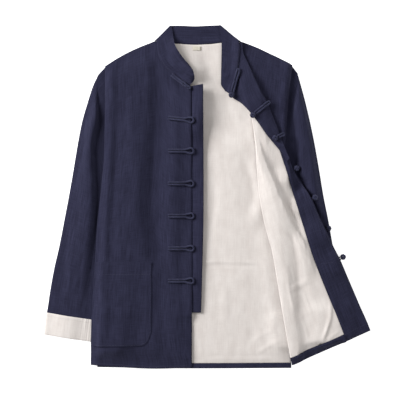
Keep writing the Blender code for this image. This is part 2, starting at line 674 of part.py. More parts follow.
def make_left_lining(pile, hinge, inward, turn, flap, flap_end, a_under):
    """The lining, facing and turned-up hem that lie on the opened front."""
    rows = slice(STRIP_TOP_ROW, len(LEFT_FRONT))
    run = turn[rows] - flap[:, 0]
    length = np.linalg.norm(run, axis=1)[:, None]
    unit = run / length
    order = np.arange(STRIP_TOP_ROW, len(LEFT_FRONT))
    width = np.interp(order, FACING_ROWS, FACING_WIDTHS)[:, None]
    seam = flap_end[rows] - unit * width
    hem_share = HEM_TURN_UP / np.linalg.norm(hinge[-1] - hinge[-2])
    start = flap[:, 0].copy()
    lining_end = seam.copy()
    start[-1] += (start[-2] - start[-1]) * hem_share
    lining_end[-1] += (lining_end[-2] - lining_end[-1]) * hem_share
    lining = line_between(start, lining_end, [0, 0.2, 0.4, 0.6, 0.8, 1.0])
    under, upper = pile.lay(lining, LINING, soften=0)
    pile.add_fold(start, inward[rows], upper[:, 0, 2])

    wrap_under, wrap_upper = [], []
    middle = (a_under[rows, -1, 2] + under[:, 0, 2]) / 2
    for turn_step in (0.42, 0.62, 0.82):
        angle = math.pi * turn_step
        for grid, reach, found in (
            (under, FOLD_REACH + SEAM_GAP, wrap_under), (upper, FOLD_REACH + SEAM_GAP + LINING, wrap_upper)
        ):
            point = grid[:, 0].copy()
            half = grid[:, 0, 2] - middle
            point[:, :2] -= inward[rows] * reach * math.sin(angle)
            point[:, 2] = middle - half * math.cos(angle)
            found.append(point)
    under = np.concatenate([np.stack(wrap_under, axis=1), under], axis=1)
    upper = np.concatenate([np.stack(wrap_upper, axis=1), upper], axis=1)
    cloth_solid("left_lining", under, upper, CREAM_LINING)

    first = FACING_TOP_ROW - STRIP_TOP_ROW
    facing_start = seam[first:] + unit[first:] * SEAM_CLEAR
    facing_end = flap_end[rows][first:]
    facing = line_between(facing_start, facing_end, [0, 0.33, 0.66, 1.0])
    under, upper = pile.lay(facing, LINING, soften=0)
    cloth_solid("left_facing", under, upper, NAVY_SHELL)

    hem_top = np.stack([start[-1], lining_end[-1]])
    hem_low = np.stack([flap[-1, 0], seam[-1]])
    down = hem_low - hem_top
    down /= np.linalg.norm(down, axis=1)[:, None]
    hem_top += down * SEAM_CLEAR
    across = np.linspace(0, 1, 7)
    hem = np.stack([line_between(edge[:1], edge[1:], across)[0] for edge in (hem_top, hem_low)])
    under, upper = pile.lay(hem, LINING, soften=0)
    cloth_solid("left_hem_turn_up", under, upper, NAVY_SHELL)


def band_lines(rows):
    """Plan lines across the collar band, a row for each station."""
    seam = np.array([[row.seam_x, row.seam_y] for row in rows], float)
    free = np.array([[row.free_x, row.free_y] for row in rows], float)
    return line_between(seam, free, [0, 0.34, 0.67, 1.0])


def make_collar_back(pile):
    """The part of the collar behind the neck, laid before the fronts."""
    folds = band_lines([COLLAR_RIGHT_FOLD, COLLAR_LEFT_FOLD])
    right_in = normals_of(folds[0], (1, -1)) * FOLD_REACH
    left_in = normals_of(folds[1], (-1, -1)) * FOLD_REACH
    middle = band_lines(COLLAR_BACK)
    lines = np.concatenate([(folds[0] + right_in)[None], middle, (folds[1] + left_in)[None]])
    under, upper = pile.lay(lines, BAND, soften=0)
    return lines, under, upper


def make_collar_half(pile, rows, start_line):
    """One half of the collar, laid over the back and the front."""
    lines = np.concatenate([start_line[None], band_lines(rows)])
    return pile.lay(lines, BAND, soften=1)


def make_collar(back_part, right_part, left_part):
    """The whole collar as one band: right half, back and left half, folded at both sides of the neck."""
    lines, back_under, back_upper = back_part
    right_under, right_upper = right_part
    left_under, left_upper = left_part
    inner, outer = [], []
    for row in range(len(right_under) - 1, -1, -1):
        inner.append(right_under[row])
        outer.append(right_upper[row])
    outward = normals_of(lines[0], (-1, 1))
    hollow, round_side = roll(
        back_upper[0], back_under[0], right_under[0], right_upper[0], outward, BAND
    )
    inner += hollow[::-1]
    outer += round_side[::-1]
    for row in range(len(back_under)):
        inner.append(back_upper[row])
        outer.append(back_under[row])
    outward = normals_of(lines[-1], (1, 1))
    hollow, round_side = roll(
        back_upper[-1], back_under[-1], left_under[0], left_upper[0], outward, BAND
    )
    inner += hollow
    outer += round_side
    for row in range(len(left_under)):
        inner.append(left_under[row])
        outer.append(left_upper[row])
    cloth_solid("collar", np.array(outer), np.array(inner), NAVY_SHELL)


def cord(name, points):
    """A sewn cord through given centre points."""
    curve = bpy.data.curves.new(name, "CURVE")
    curve.dimensions = "3D"
    curve.bevel_depth = CORD / 2 * MM
    curve.bevel_resolution = 2
    curve.use_fill_caps = True
    spline = curve.splines.new("POLY")
    spline.points.add(len(points) - 1)
    for place, point in zip(spline.points, points):
        place.co = (*(np.array(point) * MM), 1.0)
        place.radius = 1.0
    spline.use_smooth = True
    return new_object(name, curve, NAVY_TRIM)


def cord_route(start, tip, outline):
    """Plan points of a cord drawn as (along, beside) from a start towards a tip."""
    start, tip = np.array(start, float), np.array(tip, float)
    along = (tip - start) / np.linalg.norm(tip - start)
    beside = np.array([-along[1], along[0]])
    return [start + along * far + beside * off for far, off in outline]


def lay_cord(pile, name, plan_points, end_height=0.0):
    """A cord resting on the pile along a plan route, its two ends at least at a given height."""
    points = []
    for index, point in enumerate(plan_points):
        near = np.array(plan_points[max(index - 1, 0): index + 2])
        height = pile.under_cord(near, CORD / 2)
        if index in (0, len(plan_points) - 1):
            height = max(height, end_height)
        points.append((*point, height))
    cord(name, points)


def make_loop(pile, name, loop):
    """A strap of cord doubled side by side and opened into a loop at its tip."""
    half = CORD_PITCH / 2
    head = (LOOP_HEAD - CORD) / 2
    length = math.dist((loop.start_x, loop.start_y), (loop.tip_x, loop.tip_y)) - CORD / 2
    up = [(0, half), (14, half), (28, half), (length - 18, half), (length - 13, head * 0.78)]
    round_head = [
        (length - 6 - head * math.cos(angle), head * math.sin(angle))
        for angle in np.linspace(math.pi * 0.35, math.pi, 5)
    ]
    one_way = up + round_head
    outline = one_way + [(far, -off) for far, off in one_way[-2::-1]]
    route = cord_route((loop.start_x, loop.start_y), (loop.tip_x, loop.tip_y), outline)
    lay_cord(pile, name, route)


def strap_outline(length):
    """A doubled cord that turns back on itself at its far end."""
    half = CORD_PITCH / 2
    far = length - half
    bend = [(far + half * math.sin(angle), half * math.cos(angle)) for angle in np.linspace(0, math.pi, 5)]
    straight = [(share * far, half) for share in (0, 0.33, 0.66)]
    return straight + bend + [(along, -off) for along, off in straight[::-1]]


def make_fastener(pile, number, knot):
    """A round knot of cord and the strap that holds it, starting just clear of the knot."""
    height = knot_height(pile, knot)
    make_knot(f"knot_{number}", knot, height)
    centre = np.array([knot.x, knot.y])
    end = np.array([knot.strap_x, knot.strap_y])
    along = (end - centre) / np.linalg.norm(end - centre)
    start = centre + along * (KNOT_RADIUS + SEAM_GAP)
    outline = strap_outline(np.linalg.norm(end - start))
    lay_cord(pile, f"strap_{number}", cord_route(start, end, outline), height - KNOT_SEAT)


def make_hidden_straps(pile):
    """Straps on the outside of the opened front, which is down here, with their knots past its edge."""
    for number, knot in enumerate(KNOTS_AT_EDGE, len(KNOTS_ON_TOP) + 1):
        make_fastener(pile, number, knot)
        spline = bpy.data.objects[f"strap_{number}"].data.splines[0]
        points = [point.co.to_3d() / MM for point in spline.points]
        cover_cord(pile, points)


def cover_cord(pile, points):
    """Adds a cord's top to the pile, so that what is laid next clears it."""
    for start, end in zip(points, points[1:]):
        for share in np.linspace(0, 1, 5):
            point = np.array(start) + (np.array(end) - np.array(start)) * share
            place = pile.window(point[:2] - CORD / 2, point[:2] + CORD / 2)
            pile.top[place] = np.maximum(pile.top[place], point[2] + CORD / 2)


def knot_height(pile, knot):
    """The height of a knot's centre, resting on what lies under it."""
    reach = KNOT_RADIUS * 0.7
    place = pile.window((knot.x - reach, knot.y - reach), (knot.x + reach, knot.y + reach))
    return pile.top[place].max() + SEAM_GAP + KNOT_HEIGHT


def make_knot(name, knot, height):
    """A round knot of cord."""
    work = bmesh.new()
    bmesh.ops.create_icosphere(work, subdivisions=2, radius=KNOT_RADIUS * MM)
    bmesh.ops.scale(work, vec=(1, 1, KNOT_HEIGHT / KNOT_RADIUS), verts=work.verts)
    mesh = bpy.data.meshes.new(name)
    work.to_mesh(mesh)
    work.free()
    thing = new_object(name, mesh, NAVY_TRIM)
    thing.location = (knot.x * MM, knot.y * MM, height * MM)


def make_fastenings(pile):
    """Loops on the right front and collar, and the three left fasteners that lie on top."""
    loops = [COLLAR_LOOP]
    for number, height in enumerate(LOOP_HEIGHTS):
        drop = TOP_LOOP_DROP if number == 0 else 0.0
        loops.append(Loop(LOOP_START_X, height + drop, LOOP_START_X + LOOP_LENGTH, height))
    for number, loop in enumerate(loops, 1):
        make_loop(pile, f"loop_{number}", loop)
    for number, knot in enumerate(KNOTS_ON_TOP, 1):
        make_fastener(pile, number, knot)


def centre_on_origin():
    """Moves the laid jacket so that its box stands centred on the origin."""
    bpy.context.view_layer.update()
    graph = bpy.context.evaluated_depsgraph_get()
    corners = []
    for thing in jacket.objects:
        shape = thing.evaluated_get(graph).to_mesh()
        points = np.array([thing.matrix_world @ vertex.co for vertex in shape.vertices])
        corners += [points.min(axis=0), points.max(axis=0)]
    low, high = np.min(corners, axis=0), np.max(corners, axis=0)
    holder = bpy.data.objects.new("laid_jacket", None)
    jacket_scene.objects.link(holder)
    holder.location = (-(low[0] + high[0]) / 2, -(low[1] + high[1]) / 2, -low[2])
    for thing in jacket.objects:
        thing.parent = holder
    print("jacket shift", tuple(holder.location), "size", high - low)


for thing in list(bpy.data.objects):
    bpy.data.objects.remove(thing, do_unlink=True)
jacket_scene = bpy.context.scene.collection
jacket = bpy.data.collections.new("chinese_jacket")
jacket_scene.children.link(jacket)

heap = Pile((-350, -20), (410, 780))
right_sections = make_sleeve(heap, "right_sleeve", RIGHT_SLEEVE, RIGHT_ARMHOLE, SLEEVE_RIDGES)
make_cuff(heap, "right_cuff", right_sections)
left_sections = make_sleeve(heap, "left_sleeve", LEFT_SLEEVE, LEFT_ARMHOLE, SLEEVE_RIDGES)
make_cuff(heap, "left_cuff", left_sections)
make_back(heap)
collar_back = make_collar_back(heap)
make_back_lining(heap)
make_label(heap)
make_underlap(heap)
make_right_front(heap)
collar_right = make_collar_half(heap, COLLAR_RIGHT[::-1], collar_back[0][0])
make_left_front(heap)
collar_left = make_collar_half(heap, COLLAR_LEFT, collar_back[0][-1])
make_collar(collar_back, collar_right, collar_left)
make_fastenings(heap)
centre_on_origin()
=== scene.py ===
"""The visual model of a lined Chinese jacket with a standing collar, laid flat on its back.

The wearer's right front lies closed and the left front is thrown open, so the lining
shows. Plan sizes are in millimetres from the centre back at the hem: x towards the
wearer's left, y towards the collar. Every cloth is laid in turn on a pile that keeps the
height of what lies below it, so no two pieces cut into each other.
"""

import logging
import math
from collections.abc import Callable, Sequence
from dataclasses import dataclass, field
from enum import Enum

import bpy
import numpy as np
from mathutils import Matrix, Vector


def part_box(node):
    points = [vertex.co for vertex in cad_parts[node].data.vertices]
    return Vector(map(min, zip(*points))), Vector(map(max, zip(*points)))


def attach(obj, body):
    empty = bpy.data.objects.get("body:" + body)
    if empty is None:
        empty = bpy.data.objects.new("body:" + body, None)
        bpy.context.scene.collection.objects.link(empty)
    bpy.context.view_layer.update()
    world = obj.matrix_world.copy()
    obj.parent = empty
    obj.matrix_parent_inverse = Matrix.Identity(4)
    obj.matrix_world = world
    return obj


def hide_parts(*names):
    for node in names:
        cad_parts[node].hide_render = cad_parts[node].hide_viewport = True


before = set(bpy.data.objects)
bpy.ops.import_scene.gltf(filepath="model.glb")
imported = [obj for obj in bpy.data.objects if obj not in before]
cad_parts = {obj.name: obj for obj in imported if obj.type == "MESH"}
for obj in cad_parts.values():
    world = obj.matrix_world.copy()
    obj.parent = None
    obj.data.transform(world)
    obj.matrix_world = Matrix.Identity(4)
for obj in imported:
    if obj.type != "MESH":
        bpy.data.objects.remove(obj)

MM = 0.001
log = logging.getLogger("jacket")

Grid = np.ndarray
Layer = tuple[Grid, Grid]
Line = Callable[[np.ndarray], np.ndarray]
Places = tuple[tuple[float, float], ...]
Socket = bpy.types.NodeSocket


class Held(Enum):
    """How a cloth is held in the laid jacket."""

    LAID = "laid"
    FOLDED = "folded"


class Slot(Enum):
    """The record's material slots."""

    SHELL = "navy_shell"
    TRIM = "navy_trim"
    LINING = "cream_lining"
    CUFF = "cuff_lining"
    LABEL = "label_cloth"


class Side(Enum):
    """The sides of a plan grid, as named when its first row is at the top."""

    LEFT = "left"
    RIGHT = "right"
    TOP = "top"
    BOTTOM = "bottom"


ALL_SIDES = tuple(Side)
# Shares of a cloth's thickness by which its rim is drawn in at its two faces.
RIM_LOW, RIM_HIGH = 0.22, 0.34
# Reach within which a cloth follows what lies below, as a share of its grid's spacing.
REACH_SHARE = 1.25
FAR_AWAY = 1e3
SHARP_ANGLE = math.radians(62)


def smoothstep(value: np.ndarray) -> np.ndarray:
    """A soft rise from nought to one."""
    held = np.clip(value, 0.0, 1.0)
    return held * held * (3.0 - 2.0 * held)


def run_along(points: Grid, axis: int = 0) -> np.ndarray:
    """Distance at each point of a line, or of a grid's lines in one direction."""
    steps = np.cumsum(np.linalg.norm(np.diff(points, axis=axis), axis=-1), axis=axis)
    return np.pad(steps, [(1, 0) if place == axis else (0, 0) for place in range(steps.ndim)])


def unit_of(vectors: np.ndarray, least: float = 0.0) -> np.ndarray:
    """Vectors made one long."""
    return vectors / np.maximum(np.linalg.norm(vectors, axis=-1), least)[..., None]


@dataclass
class Curve:
    """A smooth line through tabled values, which never swings past them.

    Attributes:
        places: Where the values stand, in rising order.
        values: A value or a point for each place.
    """

    places: Sequence[float]
    values: Sequence

    def __post_init__(self) -> None:
        """Finds the slope at each place."""
        self.at = np.array(self.places, float)
        self.value = np.array(self.values, float)
        if self.value.ndim == 1:
            self.value = self.value[:, None]
        run = np.diff(self.at)[:, None]
        secant = np.diff(self.value, axis=0) / run
        before, after = secant[:-1], secant[1:]
        total = np.where(np.abs(before + after) < 1e-12, 1.0, before + after)
        inner = np.where(before * after > 0, 2 * before * after / total, 0.0)
        self.slope = np.concatenate([secant[:1], inner, secant[-1:]])

    def __call__(self, at: np.ndarray) -> np.ndarray:
        """The line's values at given places, held at its ends.

        Args:
            at: The places asked for.

        Returns:
            A value or a point for each place.
        """
        asked = np.clip(np.asarray(at, float), self.at[0], self.at[-1])
        first = np.clip(np.searchsorted(self.at, asked) - 1, 0, len(self.at) - 2)
        run = self.at[first + 1] - self.at[first]
        share = ((asked - self.at[first]) / run)[..., None]
        run = run[..., None]
        square, cube = share**2, share**3
        found = (
            (2 * cube - 3 * square + 1) * self.value[first]
            + (cube - 2 * square + share) * run * self.slope[first]
            + (3 * square - 2 * cube) * self.value[first + 1]
            + (cube - square) * run * self.slope[first + 1]
        )
        return found[..., 0] if found.shape[-1] == 1 else found


@dataclass(frozen=True)
class Crease:
    """A soft trough or ridge in a cloth, bowed sideways and a little uneven.

    Attributes:
        start: Plan place where it begins.
        end: Plan place where it ends.
        height: Height of a ridge, or below nought the depth of a trough.
        half_width: From its middle line to where the cloth is level again.
        bow: How far its middle stands to its left.
        crisp: Above one, its top is narrower than its foot.
        fade: Share of its length over which each end dies away.
        sway: Share of the half width by which it wanders.
        swell: Share by which its width varies.
    """

    start: tuple[float, float]
    end: tuple[float, float]
    height: float
    half_width: float
    bow: float = 0.0
    crisp: float = 1.0
    fade: float = 0.25
    sway: float = 0.14
    swell: float = 0.2

    def lift(self, plan: Grid) -> np.ndarray:
        """The height that the crease adds at each plan point.

        Args:
            plan: Plan points.

        Returns:
            A height for each point.
        """
        start = np.array(self.start)
        chord = np.array(self.end) - start
        length = float(np.hypot(*chord))
        along = chord / length
        beside = np.array([-along[1], along[0]])
        offset = plan - start
        share = offset @ along / length
        away = offset @ beside - self.bow * 4 * share * (1 - share)
        away += self.sway * self.half_width * np.sin(8.0 * share + 0.05 * self.start[0])
        width = self.half_width * (0.86 + self.swell * np.sin(5.0 * share + 0.11 * self.start[1]))
        profile = smoothstep(1 - np.abs(away) / width) ** self.crisp
        ends = smoothstep(np.minimum(share, 1 - share) / self.fade)
        return self.height * profile * ends


@dataclass(frozen=True)
class SoftFold:
    """A long fold that rises slowly from its left and drops quickly past its crest.

    Attributes:
        crest: The crest's y and x.
        height: Height at the crest.
        rise: Distance over which it grows.
        drop: Distance over which it falls.
        low: Where it fades out at its lower end, and over what distance.
        high: The same at its upper end.
        slant: Share of a step along x that lies square to the crest.
    """

    crest: Places
    height: float
    rise: float
    drop: float
    low: tuple[float, float]
    high: tuple[float, float]
    slant: float = 0.92

    def lift(self, plan: Grid) -> np.ndarray:
        """Height that the fold adds at plan points.

        Args:
            plan: Plan points.

        Returns:
            A height for each point.
        """
        past = self.slant * (plan[..., 0] - line_of(self.crest)(plan[..., 1]))
        side = np.exp(np.minimum(past, 0) / self.rise) * np.exp(-np.maximum(past, 0) / self.drop)
        along = smoothstep((plan[..., 1] - self.low[0]) / self.low[1])
        along = along * smoothstep((self.high[0] - plan[..., 1]) / self.high[1])
        return self.height * side * along


@dataclass(frozen=True)
class Drape:
    """How a cloth stands clear of what it lies on.

    Attributes:
        loft: Height in the open middle of the cloth.
        reach: Distance from an edge over which the loft is reached.
        held_sides: Edges at which the cloth lies down.
        creases: Troughs and ridges given one by one.
        ripple: Height of the fine unevenness of worn cloth.
        seed: Picks the fine unevenness.
        fold: One long fold.
        calm: Distance from an edge over which the ripple is reached.
    """

    loft: float = 0.0
    reach: float = 20.0
    held_sides: tuple[Side, ...] = ALL_SIDES
    creases: tuple[Crease, ...] = ()
    ripple: float = 0.0
    seed: int = 1
    fold: SoftFold | None = None
    calm: float = 12.0

    def lift(self, plan: Grid) -> np.ndarray:
        """Height above the resting height at each plan point, never below nought.

        Args:
            plan: The cloth's plan grid.

        Returns:
            A height for each point.
        """
        near = self.edge_distance(plan)
        lift = self.loft * smoothstep(near / self.reach)
        for crease in self.creases:
            lift = lift + crease.lift(plan)
        if self.fold:
            lift = lift + self.fold.lift(plan)
        if self.ripple:
            lift = lift + self.ripple * unevenness(plan, self.seed) * smoothstep(near / self.calm)
        return np.maximum(lift, 0.0)

    def edge_distance(self, plan: Grid) -> np.ndarray:
        """Distance along the grid to the nearest held edge.

        Args:
            plan: The cloth's plan grid.

        Returns:
            A distance for each point.
        """
        across, down = run_along(plan, 1), run_along(plan, 0)
        found = {
            Side.LEFT: across,
            Side.RIGHT: across[:, -1:] - across,
            Side.TOP: down,
            Side.BOTTOM: down[-1:] - down,
        }
        near = np.full(plan.shape[:2], FAR_AWAY)
        for side in self.held_sides:
            near = np.minimum(near, found[side])
        return near


# Wavelength and share of each swell of the ripple.
SWELLS = ((150.0, 1.0), (84.0, 0.7), (46.0, 0.42), (25.0, 0.2), (15.0, 0.1))


def unevenness(plan: Grid, seed: int) -> np.ndarray:
    """A broad random swell with finer ones in it, longer up the cloth than across it.

    Args:
        plan: Plan points.
        seed: Picks the swells.

    Returns:
        A height for each point.
    """
    random = np.random.default_rng(seed)
    total = np.zeros(plan.shape[:-1])
    for wavelength, share in SWELLS:
        for _ in range(3):
            turn = random.uniform(-0.55, 0.55)
            direction = np.array([math.cos(turn), 0.55 * math.sin(turn)])
            phase = random.uniform(0, 2 * math.pi)
            total += share / 3 * np.sin(2 * math.pi / wavelength * (plan @ direction) + phase)
    return total


class Pile:
    """The top of everything laid so far, held on small square cells.

    Attributes:
        cell: Side of a cell.
        gap: Air left between two pieces.
    """

    cell: float = 1.5
    gap: float = 0.3

    def __init__(self, low: tuple[float, float], high: tuple[float, float]) -> None:
        """Starts with the bare surface, at height nought.

        Args:
            low: Least x and y.
            high: Greatest x and y.
        """
        self.low = np.array(low, float)
        size = np.ceil((np.array(high) - self.low) / self.cell).astype(int)
        self.top = np.full((size[1], size[0]), -self.gap)

    def places(self, plan: Grid) -> tuple[np.ndarray, np.ndarray]:
        """Row and column of the cell under each plan point.

        Args:
            plan: Plan points.

        Returns:
            Their rows and their columns.
        """
        index = np.floor((plan - self.low) / self.cell).astype(int)
        rows = np.clip(index[..., 1], 0, self.top.shape[0] - 1)
        return rows, np.clip(index[..., 0], 0, self.top.shape[1] - 1)

    def paint(self, plan: Grid, heights: np.ndarray) -> np.ndarray:
        """The height of a surface over each cell, and minus infinity where it isn't.

        Args:
            plan: The surface's plan grid.
            heights: Its height at each point.

        Returns:
            A height for each cell.
        """
        steps = max(
            np.linalg.norm(np.diff(plan, axis=0), axis=-1).max(),
            np.linalg.norm(np.diff(plan, axis=1), axis=-1).max(),
        )
        fine = max(1, math.ceil(steps / (0.7 * self.cell)))
        dense = refine(np.dstack([plan, heights]), fine)
        layer = np.full(self.top.shape, -np.inf)
        np.maximum.at(layer, self.places(dense[..., :2]), dense[..., 2])
        return layer

    def rest(self, plan: Grid, reach: float, soften: int) -> np.ndarray:
        """The lowest height at which each plan point clears what lies under its cloth.

        Args:
            plan: The cloth's plan grid.
            reach: Distance round a point within which its cloth follows it.
            soften: Rounds of evening out, which only raise the cloth.

        Returns:
            A height for each plan point.
        """
        covered = np.isfinite(self.paint(plan, np.zeros(plan.shape[:2])))
        under = np.where(covered, self.top, -self.gap)
        wide = spread(under, math.ceil(reach / self.cell))
        heights = wide[self.places(plan)] + self.gap
        return evened(heights, soften)

    def add(self, plan: Grid, heights: np.ndarray) -> None:
        """Puts a laid surface on the pile."""
        self.top = np.maximum(self.top, self.paint(plan, heights))

    def add_points(self, points: np.ndarray, radius: float) -> None:
        """Puts a round cord on the pile, given as points along its middle.

        Args:
            points: Points in plan and height.
            radius: Half its thickness.
        """
        for point in points:
            near = np.array([[point[:2] - 0.7 * radius, point[:2] + 0.7 * radius]])
            rows, columns = self.places(near)
            place = slice(rows[0, 0], rows[0, 1] + 1), slice(columns[0, 0], columns[0, 1] + 1)
            self.top[place] = np.maximum(self.top[place], point[2] + radius)

    def over(self, points: np.ndarray, reach: float) -> np.ndarray:
        """The highest top within a reach of each point."""
        wide = spread(self.top, math.ceil(reach / self.cell))
        return wide[self.places(points)]


def refine(grid: Grid, fine: int) -> Grid:
    """A grid with every cell cut into finer ones.

    Args:
        grid: A grid of points.
        fine: How many each cell is cut into, either way.

    Returns:
        The finer grid.
    """
    for axis in (0, 1):
        count = grid.shape[axis]
        asked = np.linspace(0, count - 1, (count - 1) * fine + 1)
        first = np.clip(asked.astype(int), 0, count - 2)
        share = (asked - first).reshape([-1 if place == axis else 1 for place in range(3)])
        low, high = np.take(grid, first, axis), np.take(grid, first + 1, axis)
        grid = low + (high - low) * share
    return grid


def spread(field_in: np.ndarray, cells: int) -> np.ndarray:
    """The largest value within so many cells of each cell.

    Args:
        field_in: A value for each cell.
        cells: How far a value reaches.

    Returns:
        The widened values.
    """
    out = field_in
    for axis in (0, 1):
        sides = [(cells, cells) if place == axis else (0, 0) for place in (0, 1)]
        wide = np.pad(out, sides, mode="edge")
        length = out.shape[axis]
        runs = [np.take(wide, range(start, start + length), axis) for start in range(2 * cells + 1)]
        out = np.maximum.reduce(runs)
    return out


def evened(heights: np.ndarray, rounds: int) -> np.ndarray:
    """Heights eased towards their neighbours, but never lowered.

    Args:
        heights: A height for each grid point.
        rounds: How often they are eased.

    Returns:
        The eased heights.
    """
    for _ in range(rounds):
        wide = np.pad(heights, 1, mode="edge")
        mean = (wide[:-2, 1:-1] + wide[2:, 1:-1] + wide[1:-1, :-2] + wide[1:-1, 2:]) / 4
        heights = np.maximum(heights, mean)
    return heights


def bordered(plan: Grid, inset: float = 0.9) -> Grid:
    """A plan grid with one more line just inside each edge, for a rounded rim.

    Args:
        plan: The plan grid.
        inset: How far inside the edge the lines lie.

    Returns:
        The grid with two more lines each way.
    """
    for _ in range(2):
        added = []
        for edge, beside in ((plan[0], plan[1]), (plan[-1], plan[-2])):
            step = beside - edge
            share = np.minimum(1.0, inset / np.linalg.norm(step, axis=-1))
            added.append((edge + step * share[:, None])[None])
        plan = np.concatenate([plan[:1], added[0], plan[1:-1], added[1], plan[-1:]])
        plan = plan.swapaxes(0, 1)
    return plan


def between(start: np.ndarray, end: np.ndarray, shares: np.ndarray) -> Grid:
    """Plan points at given shares of the way from each start to each end."""
    return start[:, None] + (end - start)[:, None] * np.asarray(shares)[None, :, None]


def normals_of(line: np.ndarray, towards: tuple[float, float]) -> np.ndarray:
    """Unit vectors square to a plan line, on the side of a given direction.

    Args:
        line: Points of the line.
        towards: The direction.

    Returns:
        A vector for each point.
    """
    along = np.gradient(line, axis=0)
    square = unit_of(np.stack([along[:, 1], -along[:, 0]], axis=1), 1e-9)
    return square * np.sign(square @ np.array(towards))[:, None]


@dataclass(frozen=True)
class Shell:
    """A thin cloth wall between two like grids of points.

    Attributes:
        outside: Points of its first face.
        inside: Points of its second face.
        keep: Which quads are cloth, or None for all.
    """

    outside: Grid
    inside: Grid
    keep: np.ndarray | None = None

    def mesh(self, name: str, wrapped: bool = False) -> bpy.types.Mesh:
        """Builds a closed mesh, with a rim along every free edge.

        Args:
            name: The mesh's name.
            wrapped: Whether the columns close into a tube.

        Returns:
            The mesh, with its cloth coordinates in metres as UVs.
        """
        rows, columns = self.outside.shape[:2]
        wide = columns if wrapped else columns - 1
        keep = np.ones((rows - 1, wide), bool) if self.keep is None else self.keep
        row, column = np.nonzero(keep)
        beside = (column + 1) % columns
        near, far = row * columns, (row + 1) * columns
        quads = np.stack([near + column, near + beside, far + beside, far + column], axis=1)
        offset = rows * columns
        faces = [quads, quads[:, ::-1] + offset]
        around = np.pad(keep, 1)
        if wrapped:
            around[:, 0], around[:, -1] = around[:, -2], around[:, 1]
        for side, (up, left) in enumerate(((0, 1), (1, 2), (2, 1), (1, 0))):
            free = ~around[row + up, column + left]
            a, b = quads[free, side], quads[free, (side + 1) % 4]
            faces.append(np.stack([b, a, a + offset, b + offset], axis=1))
        faces = np.concatenate(faces)
        points = np.concatenate([self.outside.reshape(-1, 3), self.inside.reshape(-1, 3)])
        flat = np.tile(cloth_coordinates(self.outside).reshape(-1, 2), (2, 1))
        used, faces = np.unique(faces, return_inverse=True)
        return mesh_from(name, points[used], faces.reshape(-1, 4), flat[used])


def cut_of(shell: Shell, wrapped: bool = False) -> tuple[float, float, float]:
    """The flat cut of a cloth, measured along itself.

    Args:
        shell: The cloth.
        wrapped: Whether it is a tube, whose cut goes all round.

    Returns:
        Its width, its length and its area, in metres.
    """
    grid = shell.outside
    if wrapped:
        grid = np.concatenate([grid, grid[:, :1]], axis=1)
    keep = np.ones((grid.shape[0] - 1, grid.shape[1] - 1)) if shell.keep is None else shell.keep
    across = np.linalg.norm(np.diff(grid, axis=1), axis=-1)[:-1] * keep
    along = np.linalg.norm(np.diff(grid, axis=0), axis=-1)[:, :-1] * keep
    first, second = grid[1:, 1:] - grid[:-1, :-1], grid[1:, :-1] - grid[:-1, 1:]
    quads = np.linalg.norm(np.cross(first, second), axis=-1) / 2 * keep
    width, length = across.sum(axis=1).max() * MM, along.sum(axis=0).max() * MM
    return float(width), float(length), float(quads.sum()) * MM**2


def cloth_coordinates(grid: Grid) -> np.ndarray:
    """Distances across and along the cloth at each of its points.

    Args:
        grid: Points of one face of the cloth.

    Returns:
        Two distances for each point.
    """
    across = run_along(grid, 1)
    along = np.zeros(grid.shape[:2])
    steps = np.linalg.norm(np.diff(grid, axis=0), axis=-1).mean(axis=1)
    along[1:] = np.cumsum(steps)[:, None]
    return np.dstack([across, along])


def mesh_from(
    name: str, points: np.ndarray, faces: np.ndarray, flat: np.ndarray
) -> bpy.types.Mesh:
    """A smooth mesh from points in millimetres, turned right side out.

    Args:
        name: The mesh's name.
        points: Its points in plan and height.
        faces: Four or three corners for each face.
        flat: Cloth coordinates for each point, in millimetres.

    Returns:
        The mesh in the row frame.
    """
    first, second, third = (points[faces[:, place]] for place in (0, 1, 2))
    last = points[faces[:, -1]]
    volume = np.einsum("ij,ij->", first, np.cross(second, third))
    if faces.shape[1] == 4:
        volume += np.einsum("ij,ij->", first, np.cross(third, last))
    if volume < 0:
        faces = faces[:, ::-1]
    mesh = bpy.data.meshes.new(name)
    corners = faces.shape[1]
    mesh.vertices.add(len(points))
    mesh.loops.add(faces.size)
    mesh.polygons.add(len(faces))
    mesh.vertices.foreach_set("co", (points * MM + PLAN_ORIGIN).astype(np.float32).ravel())
    mesh.loops.foreach_set("vertex_index", faces.astype(np.int32).ravel())
    mesh.polygons.foreach_set("loop_start", np.arange(0, faces.size, corners, dtype=np.int32))
    layer = mesh.uv_layers.new(name="cloth")
    layer.data.foreach_set("uv", (flat[faces.ravel()] * MM).astype(np.float32).ravel())
    mesh.update(calc_edges=True)
    mesh.validate()
    mesh.shade_smooth()
    mesh.set_sharp_from_angle(angle=SHARP_ANGLE)
    return mesh


LABEL_CENTRE = (5.0, 705.0)


def plan_origin() -> np.ndarray:
    """Where the plan's origin stands in the row frame, from the neck label's place.

    Returns:
        Its place, in metres.
    """
    low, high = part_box("neck_label")
    centre = (np.array(low) + np.array(high)) / 2
    return np.array([centre[0] - LABEL_CENTRE[0] * MM, centre[1] - LABEL_CENTRE[1] * MM, 0.0])


PLAN_ORIGIN = plan_origin()


